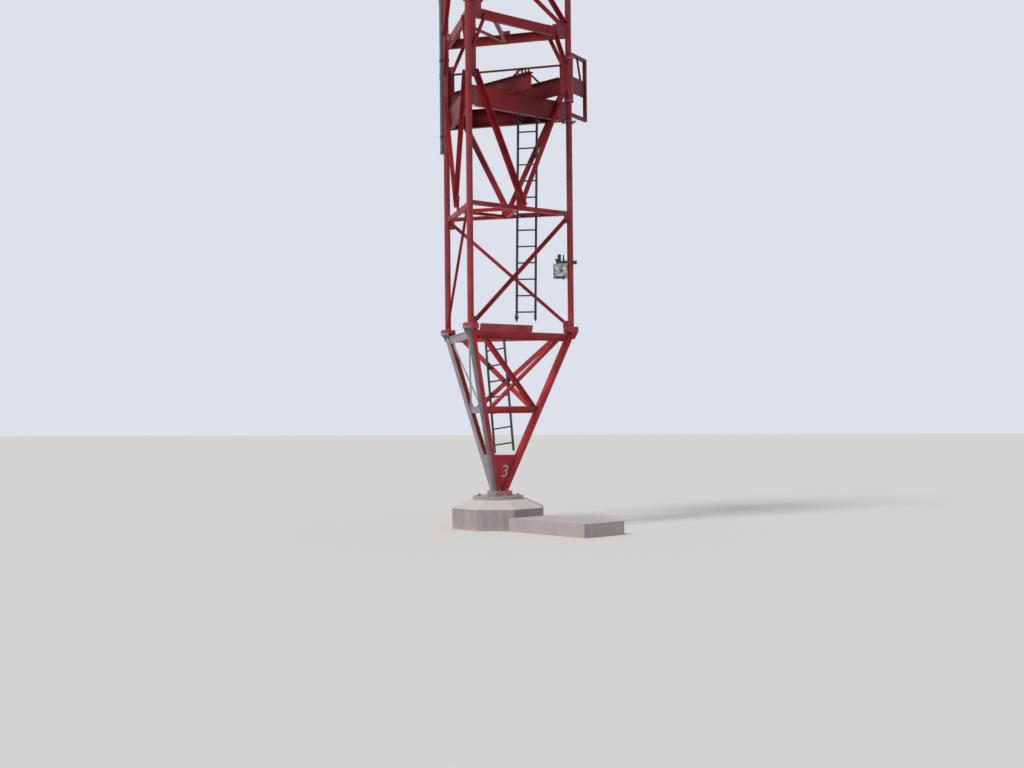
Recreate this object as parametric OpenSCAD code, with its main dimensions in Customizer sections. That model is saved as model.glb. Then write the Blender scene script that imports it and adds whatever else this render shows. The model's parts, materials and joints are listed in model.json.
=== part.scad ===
// Radio mast: a three-legged lattice mast on a pointed foot, with its concrete foundation.
// The foot, the tapering base and one flanged section of the mast are built here.
// Z is up. The origin is the centre of the foundation's underside, on the mast's axis.

/* [Mast] */
// Width of a face, between the centre lines of two legs
face_w = 2440; // [2200:10:2700]
// Outside diameter of a leg tube
leg_d = 114.3; // [100:0.1:130]
// Height of the joint between the base and the first section
joint_z = 3627; // [3500:1:3800]
// From that joint up to the first ring
first_panel_h = 2171; // [2050:1:2300]
// From the first ring up to where the V braces meet the legs
v_panel_h = 2542; // [2400:1:2700]
// From there up to the second ring
knee_panel_h = 820; // [750:1:900]
// From the second ring up to the third
cross_panel_h = 2684; // [2500:1:2900]
// From the third ring up to the top flanges
top_stub_h = 190; // [175:1:260]

/* [Flanges] */
// Diameter of a leg flange
flange_d = 285; // [270:1:300]
// Thickness of a leg flange
flange_t = 45; // [35:1:55]
// Bolt holes in each top flange
flange_holes = 6; // [4:1:8]
// Diameter of a flange bolt hole
flange_hole_d = 26; // [20:1:30]
// Circle that the flange bolts lie on
flange_bolt_circle = 220; // [200:1:236]

/* [Foundation] */
// Radius of the eight-sided block to its corners
block_r = 885; // [820:5:950]
// Height of the block's upright sides
block_side_h = 375; // [300:5:450]
// Height that its weathered top rises to the middle
block_slope_h = 145; // [80:5:180]
// Radius of the level middle, to its corners
block_top_r = 560; // [530:5:620]
// Width of the low step beside the block
step_w = 960; // [800:10:1100]
// How far the step reaches from the mast's axis
step_reach = 2720; // [2200:10:3000]
// Height of the step
step_h = 235; // [180:5:290]

/* [Foot] */
// Diameter of the round base plate
base_plate_d = 920; // [860:5:960]
// Thickness of the base plate
base_plate_t = 62; // [40:1:80]
// Radius of the three-sided foot pad to its cut corners
pad_r = 258; // [245:1:270]
// Thickness of the foot pad
pad_t = 85; // [60:1:100]
// Distance of a base leg's middle line from the mast's axis, at the pad
foot_r = 105; // [99:1:112]

/* [Base] */
// Outside diameter of a base leg's tube
base_leg_d = 146; // [136:1:152]
// Thickness of the ribs under a base leg's flange
rib_t = 12; // [8:1:16]
// Height of those ribs
rib_h = 130; // [100:1:160]
// Height of the closing plates, along the slope
foot_plate_h = 672; // [560:4:760]
// Thickness of the closing plates
foot_plate_t = 12; // [8:1:16]
// Height of their lower edges above the pad, along the slope
foot_plate_up = 12; // [8:1:20]
// Depth of the beams at the top of the base
base_beam_h = 140; // [120:1:160]
// Depth of the one on the rear face
rear_beam_h = 100; // [90:1:130]
// Width of a base beam's flange
base_beam_w = 70; // [55:1:80]
// Width of the flange of the beam on the left face
side_beam_w = 24; // [20:1:40]
// Distance from the top flanges down to those beams, along the slope
base_beam_down = 25; // [15:1:35]
// Width of the lower rail's flange
base_rail_w = 50; // [40:1:60]
// Width of the crossed braces of the base
base_brace_w = 92; // [80:1:100]
// Distance from a base face's middle to the tops of its crossed braces
base_cross_top_x = 880; // [840:5:920]
// Distance from there to their lower ends
base_cross_low_x = 490; // [440:5:530]
// Height of the base's lower rail above the pad, along the slope
base_rail_up = 1470; // [1380:5:1560]
// Depth of the lower rail
base_rail_h = 120; // [100:1:130]

/* [Bracing] */
// Thickness of the gusset plates on the legs
gusset_t = 12; // [8:1:16]
// Thickness of the rolled angles and channels
steel_t = 10; // [8:1:12]
// Width of the single diagonals of the first panel
diagonal_w = 64; // [50:1:80]
// Width of the V braces
v_brace_w = 100; // [80:1:110]
// Height above the first ring at which the V braces' middle lines meet
v_apex_up = 90; // [70:1:110]
// Distance from a face's middle to the foot of the V brace that stops short
v_foot_x = 60; // [54:1:70]
// How far the other V brace runs past the middle, down to the ring
v_pass_x = 25; // [15:1:30]
// Distance from a leg's centre to the end of a V brace
v_end_in = 106; // [104:1:116]
// Distance from a leg's centre to the end of any other brace
brace_end_in = 100; // [96:1:110]
// Width of the knees under the second ring
knee_w = 70; // [60:1:80]
// Rise of a knee for each unit that it runs along the face
knee_slope = 2.1; // [2:0.05:2.3]
// Thickness of the lighter angles
light_t = 8; // [6:1:9]
// Width of the crossed braces above the second ring
cross_brace_w = 80; // [60:1:90]
// Width of the plate where a face's V braces meet
v_plate_w = 232; // [200:1:260]
// Height of that plate
v_plate_h = 280; // [250:5:300]
// Space left between the ends of two neighbouring ring members
stop_short = 8; // [4:1:12]
// Width of the first ring's angles
ring_w = 76; // [60:1:90]
// Depth of the second and third rings' channels
upper_ring_h = 170; // [140:1:190]
// Reach of the small gusset plates at the ends of the diagonals
small_gusset_w = 150; // [140:1:160]
// Depth of those plates below the first ring
low_gusset_h = 190; // [160:1:210]
// Height of the plates on the joint, at the feet of the diagonals
panel_gusset_h = 130; // [120:1:150]
// Reach of the tall plates where the V braces and the knees meet a leg
tall_gusset_w = 170; // [160:1:180]
// How far a tall plate reaches below the point where they meet
tall_gusset_low = 330; // [310:1:350]
// How far it reaches above that point
tall_gusset_high = 400; // [380:1:420]
// Reach of the plate on the left leg above the collar
collar_plate_w = 256; // [230:1:270]
// Height of that plate
collar_plate_h = 325; // [280:5:340]
// Width and height of the slot in it
slot_w = 42; // [30:1:50]
slot_h = 115; // [90:1:130]
// Distance from the leg's centre to that slot
slot_in = 110; // [100:1:125]
// Reach of the gusset plates of the first ring and of the collar
ring_gusset_w = 290; // [270:1:310]
// Reach of the gusset plates of the second and third rings
upper_gusset_w = 300; // [280:1:310]
// How far the plate above a knee reaches towards the middle of the face
knee_plate_in = 120; // [90:1:160]
// Width of those channels' flanges
upper_ring_w = 65; // [50:1:75]
// Width of the plate at the middle of the second ring's rear channel
node_plate_w = 165; // [140:1:190]
// Height of that plate
node_plate_h = 250; // [220:5:280]
// Distance from a face's middle to where the second ring's level brace meets it
plan_meet_x = 560; // [480:5:640]

/* [Collar] */
// Height of the collar's underside above the first ring
collar_up = 1717; // [1650:1:1800]
// Depth of the collar girders
girder_h = 350; // [320:1:380]
// Width of a girder's flange
girder_w = 100; // [80:1:110]
// Depth of the two cross girders on the collar
cross_girder_h = 300; // [260:1:330]
// Width of a cross girder
cross_girder_w = 110; // [90:1:130]
// How far the cross girders reach past the front face
cross_girder_reach = 425; // [300:5:480]
// Place of the first cross girder along the front face
cross_girder_1_x = -120; // [-180:5:-60]
// Place of the second cross girder along the front face
cross_girder_2_x = 585; // [520:5:640]
// Depth of the thin tie on the rear face
tie_h = 40; // [30:1:50]
// How far the cross girders stop short of the other faces' corner
cross_girder_stop = 110; // [90:1:130]
// Thickness of the cross girders' flanges
cross_girder_t = 14; // [10:1:18]
// How far the corner bracket stands out of its face
bracket_reach = 745; // [700:5:800]
// Direction of the bracket from the right leg, from the mast's outward line
bracket_turn = 50; // [45:1:55]
// Width of the bars of the corner bracket
bracket_bar = 60; // [50:1:70]
// How far its top bar lies below the second ring
bracket_down = 390; // [360:1:420]
// Height of its web plate's lower edge
bracket_web_z = 8080; // [8000:1:8150]
// Height of its web plate
bracket_web_h = 320; // [250:1:380]

/* [Fittings] */
// Width of the ladders, between their stiles' middles
ladder_w = 365; // [350:1:380]
// Distance between two rungs
rung_gap = 304.8; // [280:0.1:320]
// Diameter of a rung
rung_d = 28; // [18:1:30]
// Depth of a ladder stile
stile_w = 50; // [40:1:60]
// Thickness of a ladder stile
stile_t = 32; // [28:1:36]
// Height of the angle on the front beam
landing_h = 135; // [100:1:150]
// Distance from the left base leg's middle line to that angle
landing_in = 92; // [84:1:120]
// Right end of that angle, from the middle of the face
landing_right = 175; // [120:1:300]
// Place of the main ladder's foot to the right of the axis
ladder_x = 447; // [430:1:460]
// How far the main ladder leans to the right
ladder_lean = 1; // [0:0.1:1.5]
// Place of the main ladder behind the axis
ladder_y = 381; // [340:1:420]
// Height of the main ladder's lower end above the leg joint
ladder_up = 185; // [120:5:260]
// Place of the lower ladder's foot along the rear face
low_ladder_x = -65; // [-72:1:-50]
// Height of its foot above the pad, along the slope
low_ladder_s = 720; // [700:5:800]
// How far the lower ladder leans to one side
low_ladder_lean = 8.6; // [7:0.1:9]
// Height of the box clamp
clamp_z = 4856; // [4800:1:4900]
// Height of the clamp's bars
clamp_h = 56; // [45:1:70]
// Thickness of the clamp's bars
clamp_t = 12; // [8:1:14]
// Reach of the clamp past the leg's centre on the box's side
clamp_left = 264; // [200:1:300]
// Reach of the clamp on the other side
clamp_right = 120; // [90:1:150]
// Direction of the box from the right leg, from the mast's outward line
box_turn = 168; // [160:1:176]
// Width of the cable box
box_w = 260; // [220:1:280]
// Depth of the cable box
box_depth = 170; // [150:1:190]
// Height of the cable box
box_h = 266; // [220:1:300]
// Diameter of the pole beside the left leg
pole_d = 80; // [60:1:90]
// Height of the pole's lower end above the first ring
pole_up = 1286; // [1150:1:1400]
// Clear space between the pole and the leg
pole_gap = 12; // [10:1:20]
// Direction of the pole from the leg, from the mast's outward line
pole_turn = 10; // [0:1:20]
// Thickness of the rings that hold the pole
clip_t = 8; // [6:1:9]
// Height of those rings
clip_h = 40; // [30:1:60]

/* [Hidden] */
red = "firebrick";
grey = "slategray";
$fn = 48;
fit = 0.3;
leg_a = 150;
leg_b = 270;
leg_c = 30;
face_ab = 300;
face_bc = 60;
face_ca = 180;
leg_ring_r = face_w / sqrt(3);
face_in = leg_ring_r / 2;
block_top_z = block_side_h + block_slope_h;
pad_z = block_top_z + base_plate_t;
foot_z = pad_z + pad_t;
base_top_z = joint_z - flange_t;
ring_1_z = joint_z + first_panel_h;
v_top_z = ring_1_z + v_panel_h;
ring_2_z = v_top_z + knee_panel_h;
ring_3_z = ring_2_z + cross_panel_h;
top_z = ring_3_z + top_stub_h;
collar_z = ring_1_z + collar_up;
collar_top_z = collar_z + girder_h;

// Moves its children to a face: x runs along it, -y is its outward side
module on_face(turn) {
    rotate([0, 0, turn]) translate([0, -face_in, 0]) children();
}

// A straight bar in a face, from one point to another, drawn from a profile
module bar(from, to, y = 0) {
    run = to - from;
    translate([from[0], y, from[1]])
        rotate([0, atan2(run[0], run[1]), 0])
            linear_extrude(norm(run)) children();
}

// Profile of an angle: one flange on the plane y = 0, the other standing out on a side
module angle_profile(w, t = steel_t, side = -1, share = 0.8) {
    out = -w * share;
    scale([side, 1])
        polygon([[-w / 2, 0], [w / 2, 0], [w / 2, out], [w / 2 - t, out],
            [w / 2 - t, -t], [-w / 2, -t]]);
}

// Profile of a channel: web on x = 0 and flanges on the side of the sign, from y = 0 up
module channel_profile(h, w, side) {
    scale([side, 1])
        polygon([[0, 0], [w, 0], [w, steel_t], [steel_t, steel_t], [steel_t, h - steel_t],
            [w, h - steel_t], [w, h], [0, h]]);
}

// A level channel along x, standing on the height z
module level_channel(from_x, to_x, z, h, w, side) {
    translate([from_x, 0, z]) rotate([90, 0, 90])
        linear_extrude(to_x - from_x) channel_profile(h, w, side);
}

// Plan of a regular shape with corners at the given angles from first
module ring_of_points(r, n, first) {
    polygon([for (i = [0 : n - 1]) [r * cos(first + i * 360 / n), r * sin(first + i * 360 / n)]]);
}

module foundation_block() {
    color("silver") {
        linear_extrude(block_side_h) ring_of_points(block_r, 8, -52.5);
        hull() {
            translate([0, 0, block_side_h - 1])
                linear_extrude(1) ring_of_points(block_r, 8, -52.5);
            translate([0, 0, block_top_z - 1])
                linear_extrude(1) ring_of_points(block_top_r, 8, -52.5);
        }
    }
}

module foundation_step() {
    color("silver")
        rotate([0, 0, -30])
            translate([block_r * cos(22.5), -step_w / 2, 0])
                cube([step_reach - block_r * cos(22.5), step_w, step_h]);
}

module base_plate() {
    color(grey) translate([0, 0, block_top_z])
        cylinder(d = base_plate_d, h = base_plate_t);
}

module foot_pad() {
    color(red) translate([0, 0, pad_z])
        linear_extrude(pad_t)
            intersection() {
                ring_of_points(pad_r * 1.3, 3, 30);
                circle(r = pad_r);
            }
}

// The lean of a base leg, and of the plane through the middle lines of two of them
leg_rise = base_top_z - foot_z;
leg_lean = atan2(leg_ring_r - foot_r, leg_rise);
face_lean = atan2((leg_ring_r - foot_r) / 2, leg_rise);
slope_len = leg_rise / cos(face_lean);
foot_half = foot_r * sqrt(3) / 2;
half_w = face_w / 2;

// Moves its children to a leaning face of the base: z runs up its slope, -y is outward
module on_base_face(turn) {
    rotate([0, 0, turn]) translate([0, -foot_r / 2, foot_z])
        rotate([face_lean, 0, 0]) children();
}

// Distance of a base leg's middle line from the middle of a face, at a height on the slope
function leg_x(s) = foot_half + (half_w - foot_half) * s / slope_len;

// A leaning tube on a base leg's middle line, longer than the leg at both ends
module base_tube(leg, d) {
    rotate([0, 0, leg]) translate([foot_r, 0, foot_z]) rotate([0, leg_lean, 0])
        translate([0, 0, -base_leg_d]) cylinder(d = d, h = leg_rise / cos(leg_lean) + 2 * base_leg_d);
}

// Places its children in a leaning face and cuts their ends to the tubes of its two legs
module between_base_legs(turn) {
    difference() {
        on_base_face(turn) children();
        base_tube(turn - 150, base_leg_d + 2 * fit);
        base_tube(turn - 30, base_leg_d + 2 * fit);
    }
}

// A leg of the base: a leaning tube under a round flange, with three ribs below the flange
module base_leg(leg) {
    outer = flange_d / 2 - rib_t;
    color(red) {
        intersection() {
            base_tube(leg, base_leg_d);
            translate([-2 * face_w, -2 * face_w, foot_z])
                cube([4 * face_w, 4 * face_w, leg_rise]);
        }
        rotate([0, 0, leg]) translate([leg_ring_r, 0, base_top_z]) {
            cylinder(d = flange_d, h = flange_t);
            for (turn = [-90, 0, 90])
                rotate([90, 0, turn]) translate([0, 0, -rib_t / 2]) linear_extrude(rib_t)
                    polygon([[0, -rib_h], [outer / 2, -rib_h], [outer, -rib_t], [outer, 0], [0, 0]]);
        }
    }
}

// Plate that closes the foot of a base face, between its two legs
module foot_plate(turn) {
    color(red) between_base_legs(turn)
        rotate([90, 0, 0]) translate([0, 0, -foot_plate_t / 2])
            linear_extrude(foot_plate_t)
                polygon([[-leg_x(foot_plate_up), foot_plate_up],
                    [leg_x(foot_plate_up), foot_plate_up],
                    [leg_x(foot_plate_h), foot_plate_h], [-leg_x(foot_plate_h), foot_plate_h]]);
}

// Heights on the slope of the undersides of the beams at the top of the base
base_beam_s = slope_len - base_beam_h - base_beam_down;
rear_beam_s = slope_len - rear_beam_h - base_beam_down;

module base_beam(turn, w = base_beam_w, h = base_beam_h) {
    low_s = slope_len - h - base_beam_down;
    half = leg_x(low_s);
    color(red) between_base_legs(turn) level_channel(-half, half, low_s, h, w, -1);
}

// Crossed braces and lower rail of a base face; those of one face are flat bars
module base_bracing(turn, top_s = base_beam_s, flat = false, w = base_rail_w) {
    low_s = base_rail_up + base_rail_h;
    low = [base_cross_low_x, low_s];
    run = [-base_cross_top_x, top_s] - low;
    past = base_brace_w / norm(run);
    rail_half = leg_x(base_rail_up);
    color(red) between_base_legs(turn) {
        intersection() {
            for (side = [-1, 1]) mirror([1 - side, 0, 0])
                bar(low - run * past, low + run * (1 + past))
                    if (flat)
                        translate([-base_brace_w / 2, -steel_t]) square([base_brace_w, steel_t]);
                    else angle_profile(base_brace_w, steel_t, 1, 0.6);
            translate([-half_w, -base_brace_w, low_s]) cube([face_w, face_w, top_s - low_s]);
        }
        level_channel(-rail_half, rail_half, base_rail_up, base_rail_h, w, -1);
    }
}

// Gusset plates on a leg: height of the lower edge, height and reach from its centre
collar_gusset = [collar_z, girder_h, ring_gusset_w];
tall_gusset = [v_top_z - tall_gusset_low, tall_gusset_low + tall_gusset_high, tall_gusset_w];
ring_1_gusset = [ring_1_z - ring_w / 2, ring_w, ring_gusset_w];
ring_2_gusset = [ring_2_z - upper_ring_h / 2, upper_ring_h * 1.75, upper_gusset_w];
ring_3_gusset = [ring_3_z - upper_ring_h, upper_ring_h * 1.5, upper_gusset_w];
both_gussets = [collar_gusset, tall_gusset, ring_1_gusset, ring_2_gusset, ring_3_gusset];

// Those that a leg has only as the left or the right leg of a face
left_gusset = [joint_z + flange_t, panel_gusset_h, small_gusset_w];
right_gusset = [ring_1_z - low_gusset_h, low_gusset_h, small_gusset_w];

// The tall plate of the front leg goes on up to the second ring
front_gusset = [v_top_z, knee_panel_h - upper_ring_h / 2, tall_gusset_w];

module gusset(plate, turn) {
    rotate([0, 0, turn]) translate([0, -gusset_t / 2, plate[0]])
        cube([plate[2], gusset_t, plate[1]]);
}

// Plate above the collar on the left leg, at the end of the rear face, with a slot in it
module slotted_plate() {
    difference() {
        gusset([collar_top_z, collar_plate_h, collar_plate_w], -150);
        rotate([0, 0, -150]) translate([slot_in, -gusset_t, collar_top_z + gusset_t])
            cube([slot_w, 2 * gusset_t, slot_h]);
    }
}

// A leg tube with its end flanges and the gusset plates welded to it
module leg(angle) {
    color(red) rotate([0, 0, angle]) translate([leg_ring_r, 0, 0]) {
        difference() {
            union() {
                translate([0, 0, joint_z]) cylinder(d = leg_d, h = top_z - joint_z);
                translate([0, 0, joint_z]) cylinder(d = flange_d, h = flange_t);
                translate([0, 0, top_z - flange_t]) cylinder(d = flange_d, h = flange_t);
                for (plate = both_gussets, turn = [150, -150]) gusset(plate, turn);
                gusset(left_gusset, 150);
                gusset(right_gusset, -150);
                if (angle == leg_b) gusset(front_gusset, 150);
                if (angle == leg_a) slotted_plate();
            }
            for (i = [0 : flange_holes - 1])
                rotate([0, 0, (i + 0.5) * 360 / flange_holes])
                    translate([flange_bolt_circle / 2, 0, top_z - flange_t - 1])
                        cylinder(d = flange_hole_d, h = flange_t + 2);
        }
    }
}

outer_y = -gusset_t / 2;
inner_y = gusset_t / 2;

// Half the length of a member inside a face that stops short of its neighbours
function inner_half(w) = half_w - (inner_y + w) / tan(30) - stop_short;

// The single diagonal of the first panel, from low on the left leg to high on the right
module diagonal(turn) {
    end_x = half_w - brace_end_in;
    end_rise = brace_end_in * first_panel_h / face_w;
    color(red) on_face(turn)
        bar([-end_x, joint_z + end_rise + diagonal_w / 2],
            [end_x, ring_1_z - end_rise], outer_y)
            angle_profile(diagonal_w, light_t, 1);
}

// An angle of the first ring, with the plate at its middle where the V braces meet
module ring_1(turn) {
    half = inner_half(ring_w);
    color(red) on_face(turn) {
        translate([-half, inner_y, ring_1_z - ring_w / 2]) {
            cube([2 * half, light_t, ring_w]);
            cube([2 * half, ring_w, light_t]);
        }
        translate([-v_plate_w / 2, outer_y, ring_1_z - ring_w / 2])
            cube([v_plate_w, gusset_t, v_plate_h]);
    }
}

// Level braces that lie on the first ring and join the middles of its sides
module plan_brace() {
    mid = face_in - inner_y - ring_w * 0.75;
    span = mid * sqrt(3) - ring_w / 2;
    color(red) for (turn = [face_ab, face_bc, face_ca])
        rotate([0, 0, turn + 60])
            translate([-span / 2, -mid / 2 - ring_w * 0.4, ring_1_z - ring_w / 2 + light_t]) {
                cube([span, ring_w * 0.8, light_t]);
                cube([span, light_t, ring_w * 0.8]);
            }
}

module v_brace(turn) {
    apex_z = ring_1_z + v_apex_up;
    slope = (v_top_z - apex_z) / half_w;
    end_x = half_w - v_end_in;
    color(red) on_face(turn) for (side = [-1, 1]) {
        foot = side < 0 ? -v_pass_x : v_foot_x;
        bar([side * foot, apex_z + foot * slope], [side * end_x, apex_z + end_x * slope],
            outer_y)
            angle_profile(v_brace_w, steel_t, -side);
    }
}

module collar_girder(turn) {
    half = inner_half(girder_w);
    color(red) on_face(turn) translate([0, inner_y, 0])
        level_channel(-half, half, collar_z, girder_h, girder_w, 1);
}

// An I-shaped girder across the collar, square to the front face
module cross_girder(x) {
    run = cross_girder_reach + 3 * face_in * (1 - abs(x) / half_w) - cross_girder_stop;
    color(red) on_face(face_bc)
        translate([x - cross_girder_w / 2, -cross_girder_reach, collar_top_z]) {
            cube([cross_girder_w, run, cross_girder_t]);
            translate([0, 0, cross_girder_h - cross_girder_t])
                cube([cross_girder_w, run, cross_girder_t]);
            translate([(cross_girder_w - steel_t) / 2, 0, 0])
                cube([steel_t, run, cross_girder_h]);
        }
}

// Flat bar on the cross girders, from the outer end of the first to the second
module girder_tie() {
    from = [cross_girder_1_x - tie_h / 2, tie_h - cross_girder_reach];
    run = [cross_girder_2_x + tie_h / 2, cross_girder_w] - from;
    color(red) on_face(face_bc)
        translate([from[0], from[1], collar_top_z + cross_girder_h])
            rotate([0, 0, atan2(run[1], run[0])]) cube([norm(run), tie_h, steel_t]);
}

// Frame that stands out of the rear face at the right leg
module corner_bracket() {
    low = collar_z + 2 * bracket_bar;
    high = ring_2_z - bracket_down;
    web_top = bracket_web_z + bracket_web_h;
    color(red) rotate([0, 0, leg_c]) translate([leg_ring_r, 0, 0]) rotate([0, 0, bracket_turn])
        difference() {
            translate([0, -bracket_bar / 2, 0]) {
                for (z = [low, high])
                    translate([0, 0, z]) cube([bracket_reach, bracket_bar, bracket_bar]);
                translate([bracket_reach - bracket_bar, 0, low])
                    cube([bracket_bar, bracket_bar, high - low]);
                translate([0, (bracket_bar - steel_t) / 2, bracket_web_z])
                    cube([bracket_reach - bracket_bar, steel_t, bracket_web_h]);
                bar([bracket_reach / 2, high + bracket_bar / 2],
                    [bracket_reach * 0.7, web_top - steel_t], bracket_bar / 2)
                    square(bracket_bar / 2, center = true);
            }
            translate([0, 0, collar_z])
                cylinder(d = leg_d + 2 * fit, h = ring_2_z - collar_z);
        }
}

// Thin level tie across the rear face, between the tall gusset plates
module rear_tie() {
    half = half_w - tall_gusset_w + tie_h;
    color(red) on_face(face_ca)
        translate([-half, inner_y, v_top_z + (tall_gusset_high + tie_h) / 2]) {
            cube([2 * half, light_t, tie_h]);
            cube([2 * half, tie_h, light_t]);
        }
}

// A channel of the second ring, with the knees under it and the plates that join them
module ring_2(turn) {
    half = inner_half(upper_ring_w);
    knee_top_x = half_w - knee_panel_h / knee_slope;
    plate_end = half_w - upper_gusset_w - fit;
    low_z = ring_2_z - upper_ring_h / 2;
    color(red) on_face(turn) {
        if (turn == face_ca)
            translate([-node_plate_w / 2, outer_y, low_z])
                cube([node_plate_w, gusset_t, node_plate_h]);
        translate([0, inner_y, 0])
            level_channel(-half, half, low_z, upper_ring_h, upper_ring_w, 1);
        for (side = [-1, 1]) {
            bar([side * (half_w - brace_end_in), v_top_z + brace_end_in * knee_slope],
                [side * knee_top_x, ring_2_z], outer_y)
                angle_profile(knee_w, light_t, side);
            translate([side > 0 ? knee_top_x - knee_plate_in : -plate_end, outer_y, low_z])
                cube([plate_end - knee_top_x + knee_plate_in, gusset_t, upper_ring_h]);
        }
    }
}

// Level braces in the second ring, from the rear face's middle to its two other sides
module upper_plan_brace() {
    near_y = upper_ring_w * 0.7;
    far = [0, face_in - near_y];
    color(red) for (side = [-1, 1]) {
        near = [side * (face_in - near_y) * cos(30) - side * plan_meet_x * cos(60),
            -(face_in - near_y) / 2 - plan_meet_x * sin(60)];
        run = near - far;
        translate([0, far[1], ring_2_z - upper_ring_h / 2 + steel_t])
            rotate([0, 0, atan2(run[1], run[0])]) translate([0, -upper_ring_w / 2, 0]) {
                cube([norm(run), upper_ring_w, light_t]);
                translate([upper_ring_w, side > 0 ? upper_ring_w - light_t : 0, 0])
                    cube([norm(run) - 2 * upper_ring_w, light_t, upper_ring_w]);
            }
    }
}

module upper_cross(turn) {
    end_x = half_w - brace_end_in;
    slope = (cross_panel_h - cross_brace_w) / face_w;
    end_rise = cross_brace_w / 2 + brace_end_in * slope;
    color(red) on_face(turn) for (side = [-1, 1])
        bar([side * end_x, ring_2_z + end_rise], [-side * end_x, ring_3_z - end_rise], outer_y)
            angle_profile(cross_brace_w, light_t, side);
}

module ring_3(turn) {
    half = inner_half(upper_ring_w);
    color(red) on_face(turn) translate([0, inner_y, 0])
        level_channel(-half, half, ring_3_z - upper_ring_h / 2, upper_ring_h,
            upper_ring_w, 1);
}

// Angle that stands on the front beam of the base, at its left
module landing_channel() {
    start = leg_x(base_beam_s) - landing_in;
    color(red) on_base_face(face_bc)
        translate([-start, -base_beam_w, base_beam_s + base_beam_h]) {
            cube([start + landing_right, base_beam_w, steel_t]);
            translate([0, 0, steel_t]) cube([start + landing_right, steel_t, landing_h - steel_t]);
        }
}

// A ladder that stands on z = 0 in the plane y = 0
module ladder(h) {
    for (side = [-1, 1])
        translate([(side * ladder_w - stile_t) / 2, -stile_w / 2, 0])
            cube([stile_t, stile_w, h]);
    for (z = [rung_gap / 2 : rung_gap : h - rung_d])
        translate([-ladder_w / 2, 0, z]) rotate([0, 90, 0])
            cylinder(d = rung_d, h = ladder_w);
}

// Arms from a ladder's stiles, each lying on z = 0
module ladder_arms(reach) {
    for (side = [-1, 1])
        translate([(side * ladder_w - stile_t) / 2, 0, 0]) cube([stile_t, reach, stile_w]);
}

// Height of the inner flanges that the main ladder's arms lie on
arm_levels = [ring_1_z - ring_w / 2 + light_t, collar_z + steel_t];

module main_ladder() {
    low = joint_z + ladder_up;
    reach = face_in - inner_y - steel_t - fit - ladder_y;
    color("darkslategray") translate([ladder_x, ladder_y, 0]) {
        translate([0, 0, low]) rotate([0, ladder_lean, 0]) ladder(collar_top_z - low);
        for (z = arm_levels)
            translate([(z + stile_w / 2 - low) * tan(ladder_lean), 0, z]) ladder_arms(reach);
    }
}

// A shorter ladder inside the rear face of the base, leaning with it
module lower_ladder() {
    off = steel_t + stile_w / 2;
    rise = rear_beam_s + stile_w - low_ladder_s;
    color("darkslategray") on_base_face(face_ca) {
        translate([low_ladder_x, off, low_ladder_s]) rotate([0, low_ladder_lean, 0])
            ladder(rise / cos(low_ladder_lean));
        for (s = [base_rail_up, rear_beam_s])
            translate([low_ladder_x + (s - low_ladder_s) * tan(low_ladder_lean), fit, s])
                ladder_arms(off);
    }
}

// Places its children on the pole's centre line, outside the left leg
module on_pole() {
    rotate([0, 0, leg_a]) translate([leg_ring_r, 0, 0])
        rotate([0, 0, pole_turn]) translate([pole_off, 0, 0]) children();
}

pole_off = (leg_d + pole_d) / 2 + pole_gap;
pole_low_z = ring_1_z + pole_up;
pole_h = top_z - flange_t - pole_gap - pole_low_z;

// Heights of the rings that hold the pole, clear of the leg's gusset plates
clip_levels = [collar_z - 3 * clip_h, v_top_z + tall_gusset_high + 3 * clip_h,
    ring_3_z - upper_ring_h - 4 * clip_h];

module side_pole() {
    color(grey) on_pole() translate([0, 0, pole_low_z]) cylinder(d = pole_d, h = pole_h);
}

// Double rings that hold the pole to the leg
module pole_clips() {
    color(red) on_pole() for (z = clip_levels)
        translate([0, 0, z]) difference() {
            union() {
                cylinder(d = pole_d + 2 * clip_t, h = clip_h);
                translate([-pole_off, 0, 0]) cylinder(d = leg_d + 2 * clip_t, h = clip_h);
            }
            translate([0, 0, -1]) cylinder(d = pole_d + 2 * fit, h = clip_h + 2);
            translate([-pole_off, 0, -1]) cylinder(d = leg_d + 2 * fit, h = clip_h + 2);
        }
}

// Moves its children to the right leg, with x towards the cable box
module at_box() {
    rotate([0, 0, leg_c]) translate([leg_ring_r, 0, clamp_z])
        rotate([0, 0, box_turn]) children();
}

// Long ring of flat bar that grips the right leg and holds the cable box
module box_clamp() {
    inside = leg_d + 2 * fit;
    color("darkslategray") at_box() translate([-clamp_right, 0, 0])
        difference() {
            translate([0, -inside / 2 - clamp_t, 0])
                cube([clamp_right + clamp_left, inside + 2 * clamp_t, clamp_h]);
            translate([clamp_t, -inside / 2, -1])
                cube([clamp_right + clamp_left - 2 * clamp_t, inside, clamp_h + 2]);
        }
}

module cable_box() {
    color("lightgray") at_box()
        translate([leg_d / 2 + fit, -box_depth / 2, -box_h]) cube([box_w, box_depth, box_h]);
}

foundation_block();
foundation_step();
base_plate();
foot_pad();
base_leg(leg_a);  // base_leg_a
base_leg(leg_b);  // base_leg_b
base_leg(leg_c);  // base_leg_c
foot_plate(face_ab);  // foot_plate_ab
foot_plate(face_bc);  // foot_plate_bc
foot_plate(face_ca);  // foot_plate_ca
base_beam(face_ab, side_beam_w);  // base_beam_ab
base_beam(face_bc);  // base_beam_bc
base_beam(face_ca, h = rear_beam_h);  // base_beam_ca
base_bracing(face_ab, flat = true, w = side_beam_w);  // base_bracing_ab
base_bracing(face_bc);  // base_bracing_bc
base_bracing(face_ca, rear_beam_s);  // base_bracing_ca
leg(leg_a);
leg(leg_b);
leg(leg_c);
diagonal(face_ab);  // diagonal_ab
diagonal(face_bc);  // diagonal_bc
diagonal(face_ca);  // diagonal_ca
ring_1(face_ab);  // ring_1_ab
ring_1(face_bc);  // ring_1_bc
ring_1(face_ca);  // ring_1_ca
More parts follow.
